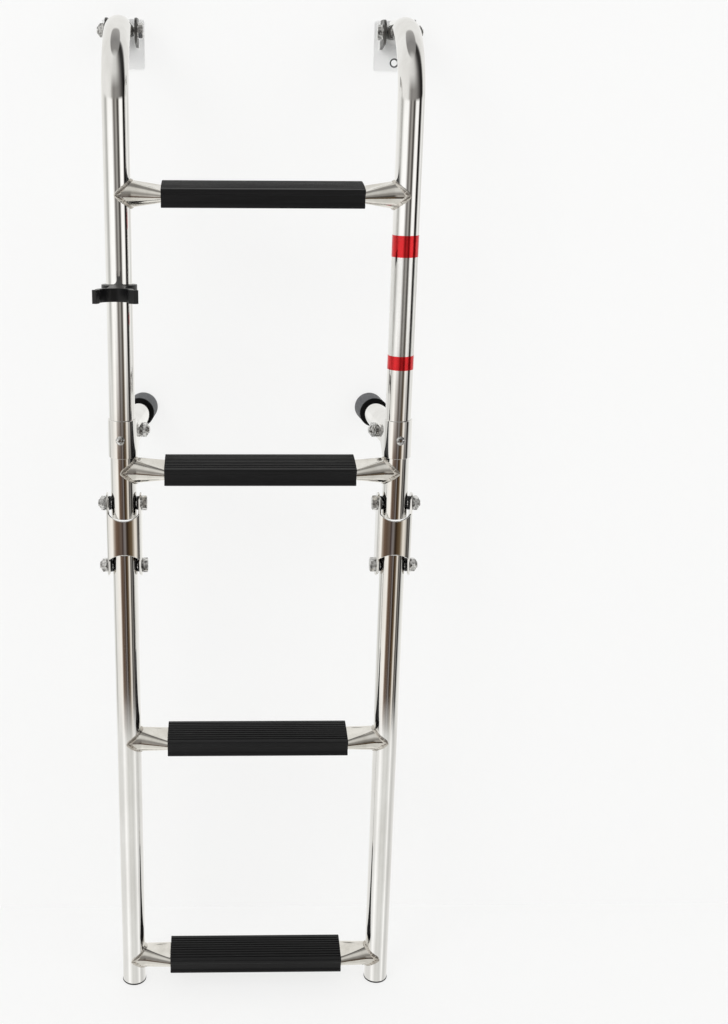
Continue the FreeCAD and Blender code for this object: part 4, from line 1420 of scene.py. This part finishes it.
# The room that the polished tube mirrors, from the floor up: pale walls, a dark window frame on the right,
# and furniture and a brown table in front. Start and end are heights of a direction, from -1 to 1.
ROOM = (
    Zone(-1.0, -1.0, {
        -180: "#ECECEA", -110: "#DCDCDA", -68: "#DEDEDC", -46: "#FFFFFE", -26: "#E6E6E4", -12: "#D2D2CF",
        4: "#D6D6D3", 26: "#CECECB", 40: "#DCDCDA", 56: "#FAFAF8", 66: "#DADAD8", 82: "#C4C4C2", 110: "#D8D8D6",
        180: "#ECECEA"}),
    Zone(-0.455, -0.43, {
        -180: "#DEDEDC", -130: "#D6D6D3", -118: "#A6A6A2", -104: "#E0E0DD", -48: "#F6F2EC", -41: "#A89C90",
        -33: "#6A5648", -24: "#5A493D", -14: "#63564D", -8: "#3A2F2B", -4: "#6E6765", 1: "#7C7674", 6: "#453B33",
        10: "#2A2016", 15: "#473828", 26: "#635440", 32: "#A0978A", 38: "#E6DFD5", 46: "#CFCAC2", 52: "#5B5854",
        57: "#3C3935", 63: "#84817D", 70: "#5A5855", 76: "#191716", 82: "#22201E", 91: "#C4C4C1", 102: "#DCDCD9",
        145: "#ECECE9", 180: "#E8E8E5"}),
    Zone(-0.27, -0.16, {
        -180: "#EFEFED", -112: "#E6E6E4", -95: "#C4C4C1", -80: "#B0B0AD", -68: "#EDEDEB", -55: "#FFFFFE",
        -28: "#FFFFFE", -17: "#B2AFAC", -10: "#65625F", -1: "#86837F", 7: "#A8A5A1", 15: "#6E6B67", 23: "#302D2A",
        29: "#77746F", 37: "#F4F3F1", 44: "#FFFFFE", 60: "#FCFBF9", 68: "#4A4745", 74: "#0B0A0A", 84: "#111010",
        93: "#A0A09E", 103: "#F8F8F6", 122: "#D2D2D0", 165: "#F2F2F0", 180: "#EFEFED"}),
    Zone(0.03, 0.09, {
        -180: "#E4E4E2", -50: "#EAEAE8", -34: "#DEDEDC", -22: "#A6A4A1", -8: "#83817F", 12: "#8E8C89",
        36: "#82807E", 52: "#646260", 66: "#403E3D", 78: "#181716", 91: "#161514", 98: "#8C8B8A",
        106: "#E4E4E2", 180: "#E4E4E2"}),
    Zone(0.3, 0.62, {
        -180: "#E4E4E2", -40: "#E2E2E0", 15: "#CDCDCB", 36: "#A6A5A3", 54: "#6A6968", 70: "#343332",
        90: "#2A2928", 98: "#6A6968", 107: "#DCDCDA", 180: "#E4E4E2"}),
    Zone(0.87, 0.9, {
        -1: "#BEBEBC", -0.43: "#BEBEBC", -0.28: "#8B8A88", 0: "#848382", 0.36: "#A2A19F", 0.44: "#ECECEA",
        1: "#ECECEA"}, Measure.DEPTH))


@dataclass
class Studio:
    """Pale wall and floor, soft light, dark room reflections and the photograph's camera.

    Places of lamps and camera are in metres. The camera's turns are degrees from one axis towards another,
    for its turn, its tilt and its roll, and its focal length and shift are in pixels of the frame's height.
    """

    wall_y: float = 1.0
    wall_top: float = 2200.0
    floor_z: float = -1000.3
    paper_front: float = -800.0
    reach: float = 3200.0
    matt_light: float = 0.8
    mirror_light: float = 1.2
    lamp_aim: tuple[float, float, float] = (0.136, -0.1, -0.45)
    camera_place: tuple[float, float, float] = (0.09192, -1.4329, -0.0353)
    camera_turns: tuple[tuple[float, int, int], ...] = ((1.42, 0, 1), (17.66, 1, 2), (0.39, 2, 0))
    sensor: float = 36.0
    frame_height: float = 1024.0
    focal_length: float = 1350.0
    frame_shift: float = 116.3

    def panel(self, name: str, start: tuple[float, float], end: tuple[float, float],
              paper: bpy.types.Material) -> None:
        """A flat stage panel as wide as the room, left out of what polished metal mirrors.

        Args:
            name: the panel's name.
            start: y and z of its first edge.
            end: y and z of the opposite edge.
            paper: its material.
        """
        left, right = LAYOUT.middle_x - self.reach, LAYOUT.middle_x + self.reach
        corners = np.array([(left, *start), (right, *start), (right, *end), (left, *end)])
        mesh = bpy.data.meshes.new(name)
        mesh.from_pydata((corners * MM).tolist(), [], [(0, 1, 2, 3)])
        mesh.materials.append(paper)
        panel = placed_object(name, mesh)
        panel.visible_glossy = False

    def room(self) -> None:
        """World light: white to the camera, softer to matt surfaces, and a room to what is polished."""
        world = bpy.data.worlds.new("studio_room")
        bpy.context.scene.world = world
        world.use_nodes = True
        tree = world.node_tree
        tree.nodes.clear()
        rays = add_node(tree, "LightPath").outputs
        x, y, z = add_node(tree, "SeparateXYZ", Vector=add_node(tree, "TexCoord").outputs["Generated"]).outputs
        front = add_node(tree, "Math", {"operation": "MULTIPLY"}, _0=y, _1=-1.0)
        bearing = add_node(tree, "Math", {"operation": "ARCTAN2"}, _0=x, _1=front)
        factors = {measure: add_node(tree, "MapRange", _0=value, _1=-most, _2=most, _3=0.0, _4=1.0)
                   for measure, value, most in ((Measure.BEARING, bearing, math.pi), (Measure.DEPTH, y, 1.0))}
        scene = ROOM[0].colour(tree, factors[ROOM[0].measure])
        for zone in ROOM[1:]:
            share = add_node(tree, "MapRange", _0=z, _1=zone.start, _2=zone.end, _3=0.0, _4=1.0)
            scene = add_node(tree, "Mix", COLOUR, Factor=share, _6=scene,
                             _7=zone.colour(tree, factors[zone.measure]))
        plain, soft, polished = (
            add_node(tree, "Background", Color=colour, Strength=strength) for colour, strength in
            ((linear("#FFFFFF"), 1.0), (linear("#FBFCFF"), self.matt_light), (scene, self.mirror_light)))
        mixed = add_node(tree, "MixShader", _0=rays["Is Glossy Ray"], _1=soft, _2=polished)
        seen = add_node(tree, "Math", {"operation": "MAXIMUM"}, _0=rays["Is Camera Ray"],
                        _1=rays["Is Transmission Ray"])
        add_node(tree, "OutputWorld", Surface=add_node(tree, "MixShader", _0=seen, _1=mixed, _2=plain))

    def lamps(self) -> None:
        """Two large soft lamps, from the upper left and the upper right."""
        for name, place, size, power in (("key_lamp", (-1.3, -1.9, 1.1), 1.0, 13.0),
                                         ("fill_lamp", (1.7, -1.7, 0.7), 1.3, 6.0)):
            lamp = bpy.data.lights.new(name, "AREA")
            lamp.shape = "SQUARE"
            lamp.size = size
            lamp.energy = power
            holder = placed_object(name, lamp)
            holder.location = place
            holder.rotation_euler = (Vector(self.lamp_aim) - Vector(place)).to_track_quat("-Z", "Y").to_euler()
            holder.visible_glossy = False

    def camera(self) -> None:
        """The photograph's camera, whose frame is moved sideways because the photograph is a crop."""
        view = np.eye(3)
        for angle, first, second in self.camera_turns:
            view = spun(view, angle, first, second)
        lens = bpy.data.cameras.new("camera")
        lens.sensor_fit = "VERTICAL"
        lens.sensor_height = self.sensor
        lens.lens = self.focal_length / self.frame_height * self.sensor
        lens.shift_x = self.frame_shift / self.frame_height
        lens.clip_start = 0.01
        holder = placed_object("camera", lens)
        holder.location = self.camera_place
        holder.rotation_euler = Matrix((view[:, [0, 2, 1]] * [1, 1, -1]).tolist()).to_euler()
        bpy.context.scene.camera = holder

    def build(self) -> None:
        """Makes the stage."""
        self.panel("wall", (self.wall_y, self.floor_z), (self.wall_y, self.wall_top),
                   Paper("wall_paper", True).build())
        floor_paper = Paper("floor_paper").build()
        for name, front, back in (("floor", self.paper_front, self.wall_y),
                                  ("outer_floor", -self.reach, self.paper_front),
                                  ("back_floor", self.wall_y, self.reach)):
            self.panel(name, (front, self.floor_z), (back, self.floor_z), floor_paper)
        self.room()
        self.lamps()
        self.camera()


def main() -> None:
    """Loads the frame, dresses the ladder and sets the stage."""
    logging.basicConfig(level=logging.INFO, format="%(name)s %(message)s")
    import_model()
    Studio().build()
    shop = Workshop()
    Rails(shop).build()
    for name, z, body in LAYOUT.rungs:
        Rung(shop, name, z, body).build()
    for side in Side:
        FoldLink(shop).build(side)
        Standoff(shop).build(side)
    Fittings(shop).build()
    MarkerWrap(shop).build()
    bpy.context.scene.view_settings.view_transform = "Standard"
    LOG.info("all pieces made")


if __name__ == "__main__":
    main()
